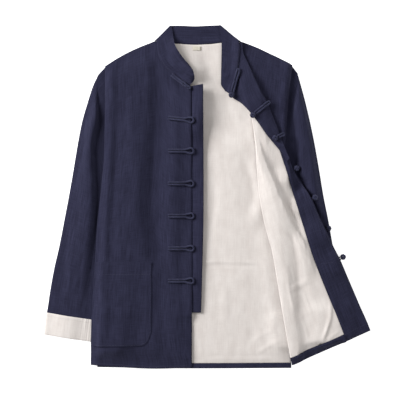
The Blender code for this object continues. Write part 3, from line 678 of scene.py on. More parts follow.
class Graph:
    """A short way to build a material's nodes."""

    def __init__(self, name: str) -> None:
        """Starts a material with its Principled shader.

        Args:
            name: The material's name.
        """
        self.material = bpy.data.materials.new(name)
        self.material.use_nodes = True
        self.tree = self.material.node_tree
        self.shader = self.tree.nodes["Principled BSDF"]

    def add(self, kind: str, inputs: dict | None = None, **settings: object) -> bpy.types.Node:
        """Adds a node, sets it, and links or fills its inputs.

        Args:
            kind: The node's type.
            inputs: Sockets or values for its inputs.
            settings: Values for its own settings.

        Returns:
            The node.
        """
        node = self.tree.nodes.new(kind)
        for key, value in settings.items():
            setattr(node, key, value)
        for key, value in (inputs or {}).items():
            if isinstance(value, bpy.types.NodeSocket):
                self.tree.links.new(value, node.inputs[key])
            else:
                node.inputs[key].default_value = value
        return node

    def scaled(self, source: Socket, scale: tuple[float, float, float]) -> Socket:
        """Coordinates scaled."""
        return self.add("ShaderNodeMapping", {"Vector": source, "Scale": scale}).outputs["Vector"]

    def noise(self, source: Socket, scale: float, detail: float) -> Socket:
        """Plain noise on given coordinates."""
        inputs = {"Vector": source, "Scale": scale, "Detail": detail}
        return self.add("ShaderNodeTexNoise", inputs).outputs["Fac"]

    def ramp(self, source: Socket, low: tuple, high: tuple, span: tuple[float, float]) -> Socket:
        """A run of colour from one to another over a span of the source.

        Args:
            source: What the colour follows.
            low: The first colour.
            high: The last colour.
            span: Where the source has these two.

        Returns:
            The colour.
        """
        found = self.add("ShaderNodeValToRGB", {"Fac": source})
        for place, at, colour in zip(found.color_ramp.elements, span, (low, high)):
            place.position = at
            place.color = (*colour, 1.0)
        return found.outputs["Color"]

    def maths(self, kind: str, first: object, second: object) -> Socket:
        """A sum, product or other step on two values."""
        return self.add("ShaderNodeMath", {0: first, 1: second}, operation=kind).outputs[0]

    def weighted(self, first: Socket, share: float, second: Socket, other: float) -> Socket:
        """The sum of two values, each with its own weight."""
        one = self.maths("MULTIPLY", first, share)
        return self.maths("ADD", one, self.maths("MULTIPLY", second, other))


@dataclass(frozen=True)
class Weave:
    """A plain woven finish, matt, with slubs and a soft sheen.

    Attributes:
        name: The material's name.
        dark: Colour of its darkest threads.
        light: Colour of its lightest threads.
        roughness: Roughness of the threads.
        sheen: Weight of the sheen of the raised fibres.
        pitch: Distance between two threads, in metres.
        slub: Share of the colour that slubs change.
        relief: Strength of the weave's relief.
    """

    name: str
    dark: tuple[float, float, float]
    light: tuple[float, float, float]
    roughness: float = 0.9
    sheen: float = 0.2
    pitch: float = 0.0007
    slub: float = 0.8
    relief: float = 0.4

    def material(self) -> bpy.types.Material:
        """Builds the material, once for each name.

        Returns:
            The material.
        """
        if self.name in bpy.data.materials:
            return bpy.data.materials[self.name]
        graph = Graph(self.name)
        cloth = graph.add("ShaderNodeUVMap", uv_map="cloth").outputs["UV"]
        wave = {
            "Vector": cloth, "Scale": 2 * math.pi / self.pitch / 20, "Distortion": 0.6,
            "Detail": 1.0, "Detail Scale": 2.0,
        }
        bands = [
            graph.add("ShaderNodeTexWave", wave, bands_direction=direction).outputs["Fac"]
            for direction in ("X", "Y")
        ]
        threads = graph.maths("MAXIMUM", *bands)
        warp, weft = [
            graph.noise(graph.scaled(cloth, scale), 1.0, 3.0)
            for scale in ((620.0, 22.0, 1.0), (40.0, 700.0, 1.0))
        ]
        slubs = graph.weighted(warp, 0.62, weft, 0.38)
        cloud = graph.noise(graph.scaled(cloth, (1.0, 0.5, 1.0)), 60.0, 5.0)
        mixed = graph.weighted(slubs, self.slub, cloud, 1 - self.slub)
        colour = graph.ramp(mixed, self.dark, self.light, (0.4, 0.6))
        graph.tree.links.new(colour, graph.shader.inputs["Base Color"])
        relief = graph.weighted(threads, 0.6, slubs, 0.9)
        bumps = {"Height": relief, "Strength": self.relief, "Distance": 0.0004}
        bump = graph.add("ShaderNodeBump", bumps)
        graph.tree.links.new(bump.outputs["Normal"], graph.shader.inputs["Normal"])
        for key, value in (
            ("Roughness", self.roughness), ("Sheen Weight", self.sheen),
            ("Sheen Roughness", 0.5), ("Specular IOR Level", 0.08),
        ):
            graph.shader.inputs[key].default_value = value
        graph.material.diffuse_color = (*self.light, 1.0)
        return graph.material


NAVY = Weave("navy_linen", (0.0175, 0.0175, 0.037), (0.030, 0.0305, 0.062), sheen=0.03)
NAVY_CORD = Weave(
    "navy_cord", (0.026, 0.027, 0.056), (0.044, 0.046, 0.088), 0.75, 0.06, 0.0005, 0.5, 0.5
)
CREAM = Weave(
    "cream_cotton", (0.665, 0.612, 0.58), (0.75, 0.70, 0.668), 0.95, 0.05, 0.0006, 0.55, 0.18
)
CREAM_CUFF = Weave(
    "cream_cuff", (0.675, 0.622, 0.59), (0.755, 0.708, 0.676), 0.95, 0.05, 0.0006, 0.55, 0.18
)
LABEL_TAPE = Weave(
    "label_tape", (0.64, 0.60, 0.50), (0.74, 0.70, 0.61), 0.85, 0.1, 0.0003, 0.5, 0.3
)
THREAD_NAVY = Weave(
    "navy_thread", (0.046, 0.047, 0.082), (0.064, 0.066, 0.11), 0.6, 0.05, 0.0003, 0.3, 0.2
)
THREAD_CREAM = Weave(
    "cream_thread", (0.50, 0.45, 0.42), (0.60, 0.55, 0.52), 0.7, 0.2, 0.0003, 0.3, 0.2
)
# Dark thread for the label's right end: real sewing whose dark colour also paints the shade that
# falls at that end.
LABEL_THREAD_AND_SHADE = Weave(
    "label_thread_and_shade", (0.10, 0.085, 0.055), (0.16, 0.135, 0.09), 0.7, 0.1, 0.0003, 0.3, 0.2
)


@dataclass
class Piece:
    """One piece of the visual model and the CAD nodes that it stands for.

    Attributes:
        name: The piece's name.
        mesh: Its mesh.
        weave: Its finish.
        slot: Its slot in the record. Not used.
        nodes: The CAD nodes that it stands for.
    """

    name: str
    mesh: bpy.types.Mesh
    weave: Weave
    slot: Slot
    nodes: tuple[str, ...] = ()

    def place(self) -> bpy.types.Object:
        """Puts the piece in the scene and on its body.

        Returns:
            Its object.
        """
        thing = bpy.data.objects.new(self.name, self.mesh)
        bpy.context.scene.collection.objects.link(thing)
        self.mesh.materials.append(self.weave.material())
        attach(thing, "root")
        if self.nodes:
            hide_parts(*self.nodes)
        top = max(corner[2] for corner in thing.bound_box) / MM
        log.info("%s: %d faces, top at %.1f mm", self.name, len(self.mesh.polygons), top)
        return thing


@dataclass
class Cloth:
    """A cloth piece, whose flat cut is measured and logged.

    Attributes:
        node: The CAD node that it stands for.
        shell: Its wall.
        weave: Its finish.
        slot: Its slot in the record.
        held: How it is held. Not used.
        rests_on: CAD nodes of the cloths that it lies on.
        wrapped: Whether it is a tube.
        shortest: Least side that a flat cut is given, in metres.
    """

    node: str
    shell: Shell
    weave: Weave
    slot: Slot
    held: Held = Held.LAID
    rests_on: tuple[str, ...] = ()
    wrapped: bool = False
    shortest: float = 0.01

    def place(self) -> bpy.types.Object:
        """Returns:
            Its object.
        """
        name = f"{self.node}_cloth"
        mesh = self.shell.mesh(name, self.wrapped)
        thing = Piece(name, mesh, self.weave, self.slot, (self.node,)).place()
        width, length, area = cut_of(self.shell, self.wrapped)
        flat = max(width, self.shortest), max(length, self.shortest)
        log.info("%s: cut %.3f by %.3f m, %.4f m2", name, *flat, area)
        [f"{node}_cloth" for node in self.rests_on]
        return thing


@dataclass
class LaidCloth:
    """A single flat cloth laid on the pile.

    Attributes:
        plan: Its plan grid.
        thickness: Its thickness.
        drape: How it stands clear.
        spacing: The grid's spacing.
        soften: Rounds of evening out.
    """

    plan: Grid
    thickness: float
    drape: Drape
    spacing: float
    soften: int = 6

    def lay(self, pile: Pile) -> Shell:
        """Lays the cloth on the pile, with its rim drawn in at both faces.

        Args:
            pile: The pile.

        Returns:
            Its wall.
        """
        plan = bordered(self.plan)
        low = pile.rest(plan, REACH_SHARE * self.spacing, self.soften) + self.drape.lift(plan)
        high = low + self.thickness
        pile.add(plan, high)
        ring = np.ones(low.shape, bool)
        ring[1:-1, 1:-1] = False
        low = low + RIM_LOW * self.thickness * ring
        high = high - RIM_HIGH * self.thickness * ring
        return Shell(np.dstack([plan, high]), np.dstack([plan, low]))


@dataclass(frozen=True)
class Armhole:
    """An armhole seam, a shallow bow between shoulder and underarm."""

    shoulder_x: float
    shoulder_y: float
    underarm_x: float
    underarm_y: float
    bow: float

    def x_at(self, y: np.ndarray) -> np.ndarray:
        """The seam's x at a height.

        Args:
            y: The heights.

        Returns:
            An x for each height.
        """
        down = (self.shoulder_y - y) / (self.shoulder_y - self.underarm_y)
        chord = self.shoulder_x + (self.underarm_x - self.shoulder_x) * down
        return chord + self.bow * 4 * down * (1 - down)


@dataclass(frozen=True)
class BodySide:
    """One side of a body panel: its armhole above, and its side seam below."""

    armhole: Armhole
    seam: tuple[tuple[float, float], ...]

    def x_at(self, y: np.ndarray) -> np.ndarray:
        """The side's x at a height.

        Args:
            y: The heights.

        Returns:
            An x for each height.
        """
        places = [*self.seam, (self.armhole.underarm_y, self.armhole.underarm_x)]
        low = Curve([place[0] for place in places], [place[1] for place in places])(y)
        high = self.armhole.x_at(np.minimum(y, self.armhole.shoulder_y))
        return np.where(np.asarray(y) > self.armhole.underarm_y, high, low)


RIGHT_ARMHOLE = Armhole(-196.5, 665.0, -199.0, 459.0, 1.0)
LEFT_ARMHOLE = Armhole(215.0, 667.0, 198.0, 459.0, -2.4)
RIGHT_FRONT_SIDE = BodySide(
    RIGHT_ARMHOLE, ((8, -229), (121, -226), (233, -219), (305, -215), (391, -206))
)
BACK_RIGHT = BodySide(RIGHT_ARMHOLE, ((3, -214.5), (121, -213), (305, -209), (391, -204)))
BACK_LEFT = BodySide(LEFT_ARMHOLE, ((1, 213.5), (107, 211), (239, 208), (371, 204)))


def line_of(table: Sequence[tuple[float, float]]) -> Curve:
    """A smooth line through tabled pairs."""
    return Curve([place[0] for place in table], [place[1] for place in table])


CENTRE_FRONT = line_of([(0, -6), (134, -5.5), (360, -6), (622, -7)])
BACK_TOP = line_of([
    (-197, 665), (-170, 683), (-143, 698), (-98, 716.8), (-87, 721.5), (-45, 718), (0, 717),
    (28, 718), (58, 721), (100, 720), (113, 716), (140, 705.5), (164, 694), (190, 681.5),
    (215, 667),
])
FRONT_TOP = line_of([
    (-197, 665), (-170, 683), (-143, 698), (-98, 716.8), (-84, 721), (-76, 690), (-65, 669),
    (-46, 650), (-24, 633), (-14, 626), (-7, 619),
])
NECK_SEAM = line_of([
    (-197, 663), (-170, 681), (-143, 696), (-98, 714.6), (-87, 717), (-45, 714.3), (0, 713.2),
    (33, 714.6), (58, 717.2), (100, 718), (113, 714), (140, 703.5), (164, 692), (190, 679.5),
    (215, 665),
])
BACK_HEM = line_of([(-215, 3), (0, 0), (213, 1)])
FRONT_HEM = line_of([(-229, 8), (-215, 7), (-150, 2.5), (-87, 0), (-6, 2)])


def panel_plan(
    left: Line, right: Line, top: Line, bottom: Line, span: tuple[float, float], spacing: float,
) -> Grid:
    """Plan points of a panel, in rows from its top edge down to its bottom edge.

    Args:
        left: The left edge's x at a height.
        right: The right edge's x at a height.
        top: The top edge's y at a place.
        bottom: The bottom edge's y at a place.
        span: First and last place along the top edge.
        spacing: Distance between grid lines.

    Returns:
        The plan grid.
    """
    places = np.linspace(*span, math.ceil((span[1] - span[0]) / spacing) + 1)
    share = (places - span[0]) / (span[1] - span[0])
    x_low = places.copy()
    for _ in range(4):
        y_low = bottom(x_low)
        x_low = left(y_low) + (right(y_low) - left(y_low)) * share
    y_top = top(places)
    rows = math.ceil((y_top - y_low).max() / spacing) + 1
    y = y_top + (y_low - y_top) * np.linspace(0, 1, rows)[:, None]
    return np.dstack([left(y) + (right(y) - left(y)) * share, y])


def fixed(value: float) -> Line:
    """An edge that stays at one place."""
    return lambda at: np.full(np.shape(at), float(value))


@dataclass
class Sleeve:
    """A sleeve flattened on the surface and the cuff turned up round its end.

    Attributes:
        name: Side of the wearer.
        armhole: The armhole that it is sewn to.
        rows: Outer edge, underarm edge and lift of lines across the sleeve.
        creases: Folds in its upper layer.
        gathers: Shares across the cuff between which it is crushed.
        rise: Share of the width over which it swells from its outer edge.
        crest: Share of the width at which it starts to fall towards the body.
        fall: Share of the width over which it falls.
        puff: Height of the swell.
        wall: Thickness of its cloth.
        height: Height of the flattened tube.
        lines_along: How many lines across it are laid.
    """

    name: str
    armhole: Armhole
    rows: tuple[tuple[float, float, float, float, float], ...]
    creases: tuple[Crease, ...]
    gathers: tuple[float, float]
    rise: float = 0.15
    crest: float = 0.34
    fall: float = 0.22
    puff: float = 13.0
    wall: float = 1.2
    height: float = 3.2
    lines_along: int = 126

    def ends_at(self, at: np.ndarray) -> np.ndarray:
        """Outer and underarm ends of the lines across, at given row numbers."""
        return Curve(np.arange(len(self.rows)), [row[:4] for row in self.rows])(at)

    def sections(self) -> tuple[Grid, np.ndarray]:
        """Lines across the sleeve, from its outer edge to its underarm edge, and their lifts.

        Returns:
            Their plan points, and how far each line is lifted.
        """
        asked = np.linspace(0, len(self.rows) - 1, self.lines_along)
        ends = self.ends_at(asked)
        across = np.concatenate([
            [0, 0.004, 0.014, 0.03], np.linspace(0.052, 0.948, 31), [0.97, 0.986, 0.996, 1],
        ])
        top, underarm = self.armhole.shoulder_y, self.armhole.underarm_y
        y = top - 1 + (underarm - top + 2) * across
        seam_x = self.armhole.x_at(y) + math.copysign(0.4, self.armhole.shoulder_x)
        first = np.stack([seam_x, y], axis=1)
        chord = first[0] + (first[-1] - first[0]) * across[:, None]
        bowed = first[:, 0] - chord[:, 0]
        start = np.concatenate([first[:1], ends[:, :2]])
        end = np.concatenate([first[-1:], ends[:, 2:]])
        lines = between(start, end, across)
        decay = np.concatenate([[1.0], np.clip(1 - (asked + 1) / 4, 0, 1)])
        lines[..., 0] += bowed * decay[:, None]
        heights = np.interp(asked, np.arange(len(self.rows)), [row[4] for row in self.rows])
        lift = np.concatenate([[0.0], heights])
        return lines, lift

    def rings(
        self, lines: Grid, base: np.ndarray, height: float, puff: np.ndarray, inset: float
    ) -> Grid:
        """Rings round a flattened tube, over its top and back under it.

        Args:
            lines: Lines across the tube.
            base: Height of its underside at each line.
            height: Its height when flat.
            puff: What is added to its top at each point.
            inset: How far its wall is drawn in from the ends of the lines.

        Returns:
            A ring of points for each line.
        """
        width = np.linalg.norm(lines[:, -1] - lines[:, 0], axis=1)[:, None]
        run = run_along(lines, 1)
        edge = np.minimum(run, run[:, -1:] - run)
        round_off = np.sqrt(np.clip(1 - (1 - np.minimum(edge / 4.0, 1)) ** 2, 0, 1))
        middle = base[:, None] + height / 2
        moved = lines.copy()
        if inset:
            centre = (lines[:, :1] + lines[:, -1:]) / 2
            moved = centre + (lines - centre) * (1 - 2 * inset / width)[..., None]
        top = np.dstack([moved, middle + round_off * (height / 2 + puff)])
        under = np.dstack([moved, middle - round_off * height / 2])
        return np.concatenate([top, under[:, -2:0:-1]], axis=1)

    def build(self, pile: Pile) -> None:
        """Lays the sleeve and its cuff and reports them.

        Args:
            pile: The pile.
        """
        lines, lift = self.sections()
        width = np.linalg.norm(lines[:, -1] - lines[:, 0], axis=1)[:, None]
        across = np.linalg.norm(lines - lines[:, :1], axis=-1) / width
        down = np.linspace(0, 1, len(lines))[:, None]
        rise = smoothstep(across / self.rise) * (1 - smoothstep((across - self.crest) / self.fall))
        flatter = 1 - 0.7 * smoothstep((down - 0.45) / 0.4)
        body = self.puff * rise * smoothstep(down / 0.1) * flatter
        for crease in self.creases:
            body = body + crease.lift(lines)
        body = body + 0.35 * unevenness(lines, 11) * smoothstep(down / 0.05)
        body *= 1 - 0.65 * smoothstep(lift / 1.5)[:, None]
        puff = np.maximum(body * smoothstep(across / 0.05) * smoothstep((1 - across) / 0.05), 0)
        outer = self.rings(lines, lift, self.height, puff, 0.0)
        hollow = self.height - 2 * self.wall
        inner = self.rings(lines, lift + self.wall, hollow, puff, self.wall)
        Cloth(
            f"{self.name}_sleeve", Shell(outer, inner), NAVY, Slot.SHELL, Held.FOLDED, wrapped=True
        ).place()
        pile.add(lines, outer[:, : lines.shape[1], 2])
        self.build_cuff(pile)

    def build_cuff(self, pile: Pile) -> None:
        """Lays the band of lining turned up round the sleeve's end.

        Args:
            pile: The pile.
        """
        ends = self.ends_at(np.array([len(self.rows) - 2, len(self.rows) - 1]))
        across = np.concatenate([
            [0, 0.005, 0.016, 0.034], np.linspace(0.056, 0.944, 110), [0.966, 0.984, 0.995, 1],
        ])
        top = ends[:1, :2] + (ends[:1, 2:] - ends[:1, :2]) * across[:, None]
        low = ends[1:, :2] + (ends[1:, 2:] - ends[1:, :2]) * across[:, None]
        down = unit_of(low - top)
        shares = np.concatenate([[0, 0.012, 0.035], np.linspace(0.08, 0.92, 14), [0.965, 0.988, 1]])
        plan = between(top, low + down * 0.4, shares).swapaxes(0, 1)
        reach = self.wall + Pile.gap
        along = unit_of(plan[:, -1] - plan[:, 0])
        grown = plan + along[:, None] * ((across[None, :, None] - 0.5) * 2 * reach)
        begin, end = self.gathers
        crush = smoothstep((across - begin) / 0.08) * smoothstep((end - across) / 0.08)
        pleats = np.sin(across * 131 + 2.6 * np.sin(across * 37)) + 0.7 * np.sin(across * 217 + 1.0)
        fine = 0.16 * np.sin(across * 23 + 0.7) + 0.1 * np.sin(across * 47)
        wander = 5.0 * np.sin(across * 29)[None, :]
        uneven = 0.6 + 0.4 * np.sin(3.1 * shares[:, None] + 0.4 + wander)
        waves = (0.55 * crush * pleats + fine)[None, :] * uneven
        rim = smoothstep(np.minimum(shares, 1 - shares) / 0.035)[:, None]
        swell = 4.4 * smoothstep(across / 0.3) * (1 - smoothstep((across - 0.36) / 0.24))
        puff = 0.7 + 0.9 * rim + np.maximum(waves, -0.6) + swell[None, :]
        height = self.height + 2 * reach
        base = np.zeros(len(plan))
        outer = self.rings(grown, base, height, puff, 0.0)
        inner = self.rings(grown, base + self.wall, height - 2 * self.wall, puff, self.wall)
        name = f"{self.name}_cuff"
        shell = Shell(outer, inner)
        Cloth(name, shell, CREAM_CUFF, Slot.CUFF, Held.FOLDED, wrapped=True).place()
        pile.add(grown, outer[:, : plan.shape[1], 2])
        stitch_line = grown[4, 3:-3]
        heights = outer[4, 3: plan.shape[1] - 3, 2]
        sewing = Stitches(f"{name}_stitches", THREAD_CREAM, Slot.CUFF)
        sewing.along(np.column_stack([stitch_line, heights])).place()


def drawn(asked: np.ndarray, run: np.ndarray, points: np.ndarray) -> np.ndarray:
    """Points at given distances along a line of straight steps."""
    return np.stack([np.interp(asked, run, column) for column in points.T], axis=1)


@dataclass
class Stitches:
    """Rows of sewing, joined into one piece.

    Attributes:
        name: The piece's name.
        weave: The thread's finish.
        slot: Its slot in the record.
        length: Length of a stitch.
        gap: Space between two stitches.
        radius: Half the thread's thickness.
        parts: The stitches added so far, each as five points.
        sides: How many sides a thread has.
    """

    name: str
    weave: Weave
    slot: Slot
    length: float = 2.5
    gap: float = 0.9
    radius: float = 0.26
    parts: list[np.ndarray] = field(default_factory=list)
    sides: int = 5

    def along(self, route: np.ndarray) -> "Stitches":
        """Adds a row of stitches on a route of points on the cloth's top.

        Args:
            route: Points on the cloth's top.

        Returns:
            These stitches, for one more row.
        """
        run = run_along(route[:, :2])
        count = int(run[-1] // (self.length + self.gap))
        starts = self.gap + np.arange(count) * (self.length + self.gap)
        for start in starts:
            asked = start + self.length * np.array([0.0, 0.25, 0.5, 0.75, 1.0])
            points = drawn(asked, run, route)
            points[:, 2] += self.radius * np.array([-0.9, 0.35, 0.6, 0.35, -0.9])
            self.parts.append(points)
        return self

    def on(
        self, pile: Pile, route: Sequence[tuple[float, float]], smooth: bool = True
    ) -> "Stitches":
        """Adds a row of stitches on top of the pile, along plan places.

        Args:
            pile: The pile.
            route: Plan places of the row.
            smooth: Whether it bends smoothly through them.

        Returns:
            These stitches, for one more row.
        """
        places = np.array(route, float)
        run = run_along(places)
        asked = np.linspace(0, run[-1], max(3, int(run[-1] / 1.5)))
        if smooth and len(places) > 2:
            plan = Curve(run, places)(asked)
        else:
            plan = drawn(asked, run, places)
        top = pile.over(plan, 0.0)
        window = np.ones(9) / 9
        eased = np.convolve(np.pad(top, 4, mode="edge"), window, mode="valid")
        return self.along(np.column_stack([plan, eased]))

    def place(self) -> bpy.types.Object:
        """Puts the joined stitches in the scene.

        Returns:
            Its object.
        """
        points, faces = [], []
        sides = self.sides
        turn = np.linspace(0, 2 * math.pi, sides, endpoint=False)
        for number, route in enumerate(self.parts):
            along = unit_of(route[-1, :2] - route[0, :2])
            beside = np.array([-along[1], along[0], 0])
            ring = np.outer(np.cos(turn), beside) + np.outer(np.sin(turn), [0, 0, 1])
            taper = self.radius * np.array([0.4, 1.0, 1.1, 1.0, 0.4])
            points.append((route[:, None] + ring[None] * taper[:, None, None]).reshape(-1, 3))
            base = number * sides * len(route)
            for row in range(len(route) - 1):
                for place in range(sides):
                    low = base + row * sides + place
                    following = base + row * sides + (place + 1) % sides
                    faces.append((low, following, following + sides, low + sides))
        shape = np.concatenate(points)
        mesh = mesh_from(self.name, shape, np.array(faces), shape[:, :2])
        return Piece(self.name, mesh, self.weave, self.slot).place()


FOLD_CREST = (
    (210, 259), (248, 245), (281, 230), (327, 204), (371, 182), (415, 164), (459, 145),
    (503, 131), (550, 126), (640, 113),
)


def hem_route(hem: Line, places: range, up: float) -> list[tuple[float, float]]:
    """Plan places for a row of sewing at one height above a hem."""
    return [(x, float(hem(np.array(x))) + up) for x in places]


@dataclass
class Back:
    """The back of the jacket, its lining, the hem turned up and the bare label."""

    spacing: float = 4.5
    turn_up: float = 12.0
    fold: SoftFold = SoftFold(
        tuple((y, x + 1.5) for y, x in FOLD_CREST), 12.0, 44.0, 7.0, (400, 110), (680, 90)
    )
    lining_creases: tuple[Crease, ...] = (
        Crease((136, 480), (144, 300), 6.5, 30.0, 2.0, fade=0.3),
        Crease((0, 720), (4, 500), 8.0, 56.0, 0.0, fade=0.3),
        Crease((-64, 730), (0, 630), 8.5, 62.0, -10.0, fade=0.15),
        Crease((8, 238), (168, 236), 1.5, 4.5, -3.0, 1.3),
        Crease((8, 230), (150, 227), -1.3, 4.5, -2.0, 1.2),
        Crease((-4, 24), (205, 23), 1.3, 3.6, -3.0, 1.3),
        Crease((-4, 17), (205, 16), -1.0, 3.0, -3.0, 1.2),
        Crease((60, 560), (108, 80), 1.6, 60.0, 12.0),
        Crease((36, 470), (30, 250), -1.6, 22.0, 6.0),
        Crease((64, 200), (84, 60), 1.0, 24.0, -6.0),
        Crease((110, 160), (128, 40), -1.1, 18.0, 4.0),
        Crease((190, 70), (134, 34), 1.4, 9.0, 3.0),
        Crease((176, 90), (120, 50), 0.8, 8.0, -3.0),
        Crease((20, 640), (70, 560), 1.0, 26.0, 4.0),
        Crease((30, 210), (120, 190), 0.7, 8.0, 3.0),
        Crease((40, 330), (96, 322), 0.6, 7.0, 2.0),
        Crease((-120, 600), (-150, 120), 1.2, 40.0, 8.0),
    )

    def lining_sides(self) -> tuple[Line, Line]:
        """Left and right edges of the lining."""
        return (lambda y: BACK_RIGHT.x_at(y) + 5.0), (lambda y: BACK_LEFT.x_at(y) - 1.5)

    def build(self, pile: Pile) -> None:
        """Lays the back.

        Args:
            pile: The pile.
        """
        sides = BACK_RIGHT.x_at, BACK_LEFT.x_at
        plan = panel_plan(*sides, BACK_TOP, BACK_HEM, (-197, 215), self.spacing)
        shell = LaidCloth(plan, 1.5, Drape(), self.spacing, 8).lay(pile)
        Cloth("back", shell, NAVY, Slot.SHELL).place()
        sewing = Stitches("back_hem_stitches", THREAD_NAVY, Slot.SHELL)
        sewing.on(pile, hem_route(BACK_HEM, range(0, 210, 10), 3.0)).place()

    def build_lining(self, pile: Pile) -> None:
        """Lays the lining, the hem turned up below it and the label.

        Args:
            pile: The pile.
        """
        sides = self.lining_sides()

        def hem(x: np.ndarray) -> np.ndarray:
            """The lining's lower edge."""
            return BACK_HEM(x) + self.turn_up

        plan = panel_plan(*sides, NECK_SEAM, hem, (-191, 209), self.spacing)
        drape = Drape(1.6, 26.0, creases=self.lining_creases, ripple=0.5, seed=4, fold=self.fold)
        shell = LaidCloth(plan, 1.0, drape, self.spacing, 10).lay(pile)
        Cloth("back_lining", shell, CREAM, Slot.LINING, rests_on=("back",)).place()

        turned = panel_plan(
            *sides, lambda x: hem(x) - 0.4, lambda x: BACK_HEM(x) + 0.5, (-191, 209), 3.0
        )
        shell = LaidCloth(turned, 1.0, Drape(), 3.0, 2).lay(pile)
        Cloth("back_hem_turn_up", shell, NAVY, Slot.SHELL, rests_on=("back",)).place()
        seam = Stitches("back_lining_stitches", THREAD_CREAM, Slot.LINING)
        seam.on(pile, hem_route(hem, range(-4, 206, 10), 1.6)).place()

    def build_label(self, pile: Pile) -> None:
        """Lays the label, bare, with two rows of dark thread sewn at its right end, which also
        paint the shade at that end.

        Args:
            pile: The pile.
        """
        edges = fixed(-4.0), fixed(14.0), fixed(709.5), fixed(700.5)
        shell = LaidCloth(panel_plan(*edges, (-4.0, 14.0), 1.5), 0.8, Drape(), 1.5, 1).lay(pile)
        Cloth("neck_label", shell, LABEL_TAPE, Slot.LABEL, rests_on=("back_lining",)).place()
        # Two rows of dark thread at the label's right end: sewing, and also painted shade at that
        # end.
        ends = Stitches("neck_label_stitches_and_shade", LABEL_THREAD_AND_SHADE, Slot.LABEL, 1.6, 0.3, 0.3)
        for x in (13.0, 12.3):
            ends.on(pile, [(x, 709.0), (x, 701.0)], False)
        ends.place()


@dataclass
class RightFront:
    """The wearer's right front, closed over the back, its underlap strip and its patch pocket."""

    spacing: float = 4.2
    pocket_top: float = 236.0
    pocket_bottom: float = 51.0
    creases: tuple[Crease, ...] = (
        Crease((-80, 730), (-86, 210), -10.0, 40.0, 4.0, fade=0.1),
        Crease((-90, 640), (-98, 300), -1.6, 12.0, 3.0),
        Crease((-150, 650), (-158, 430), -1.6, 16.0, 3.0),
        Crease((-70, 330), (-62, -10), -3.0, 28.0, -6.0),
        Crease((-34, 330), (-26, 60), -1.4, 14.0, 4.0),
        Crease((-132, 640), (-140, 250), 2.4, 34.0, 6.0),
        Crease((-184, 560), (-192, 120), 1.6, 16.0, 2.0),
        Crease((-20, 200), (-16, -20), 3.0, 46.0, 0.0),
        Crease((-186, 690), (-206, 20), 8.0, 20.0, 3.0, fade=0.1),
        Crease((-160, 300), (-172, 240), 1.0, 20.0, 4.0),
        Crease((-88, 150), (-84, 20), 1.2, 20.0, 3.0),
        Crease((-180, 40), (-130, 50), 0.8, 10.0, 3.0),
    )
    underlap_creases: tuple[Crease, ...] = (
        Crease((10, 760), (9, 450), 11.0, 48.0, fade=0.35),
        Crease((12, 700), (10, 60), 4.5, 44.0, fade=0.2),
    )

    def build_underlap(self, pile: Pile) -> None:
        """Lays the strip behind the right front's edge, under the loops.

        Args:
            pile: The pile.
        """
        outer = line_of([(124, 14.5), (191, 16.5), (371, 20), (624, 19)])

        def underlap_top(x: np.ndarray) -> np.ndarray:
            """The strip's upper edge, which slants a little."""
            return 621.0 + 0.17 * x

        plan = panel_plan(fixed(-36.0), outer, underlap_top, fixed(124.0), (-36.0, 19.0), 3.6)
        drape = Drape(
            loft=2.0, reach=40.0, held_sides=(Side.LEFT,), creases=self.underlap_creases,
            ripple=0.25, seed=6,
        )
        shell = LaidCloth(plan, 1.5, drape, 3.6, 6).lay(pile)
        Cloth("underlap", shell, NAVY, Slot.SHELL, rests_on=("back_lining",)).place()

    def build(self, pile: Pile) -> None:
        """Lays the front and its pocket.

        Args:
            pile: The pile.
        """
        edges = RIGHT_FRONT_SIDE.x_at, CENTRE_FRONT, FRONT_TOP, FRONT_HEM
        plan = panel_plan(*edges, (-197, -7), self.spacing)
        drape = Drape(loft=10.0, reach=56.0, creases=self.creases, ripple=0.6, seed=3)
        shell = LaidCloth(plan, 1.5, drape, self.spacing, 12).lay(pile)
        rests_on = ("underlap", "back_lining")
        Cloth("right_front", shell, NAVY, Slot.SHELL, rests_on=rests_on).place()

        side = line_of([(51, -118), (56, -106), (70, -98.5), (85, -94.5), (236, -94)])
        pocket = panel_plan(
            lambda y: RIGHT_FRONT_SIDE.x_at(y) + 4.0, side,
            fixed(self.pocket_top), fixed(self.pocket_bottom), (-214, -94), 3.2,
        )
        drape = Drape(loft=0.4, reach=12.0, held_sides=(Side.LEFT, Side.RIGHT, Side.BOTTOM))
        shell = LaidCloth(pocket, 0.8, drape, 3.2, 4).lay(pile)
        Cloth("pocket", shell, NAVY, Slot.SHELL, rests_on=("right_front",)).place()
        sewing = Stitches("pocket_stitches", THREAD_NAVY, Slot.SHELL)
        corner = [(-96.6, 233), (-96.8, 120), (-97.2, 86), (-101, 71), (-108, 59.5), (-119, 54)]
        sewing.on(pile, corner).on(pile, [(-119, 54), (-160, 54), (-219, 54)])
        sewing.on(pile, [(-97, 208.6), (-213, 208.6)], False)
        sewing.on(pile, hem_route(FRONT_HEM, range(-224, -8, 8), 5.0)).place()


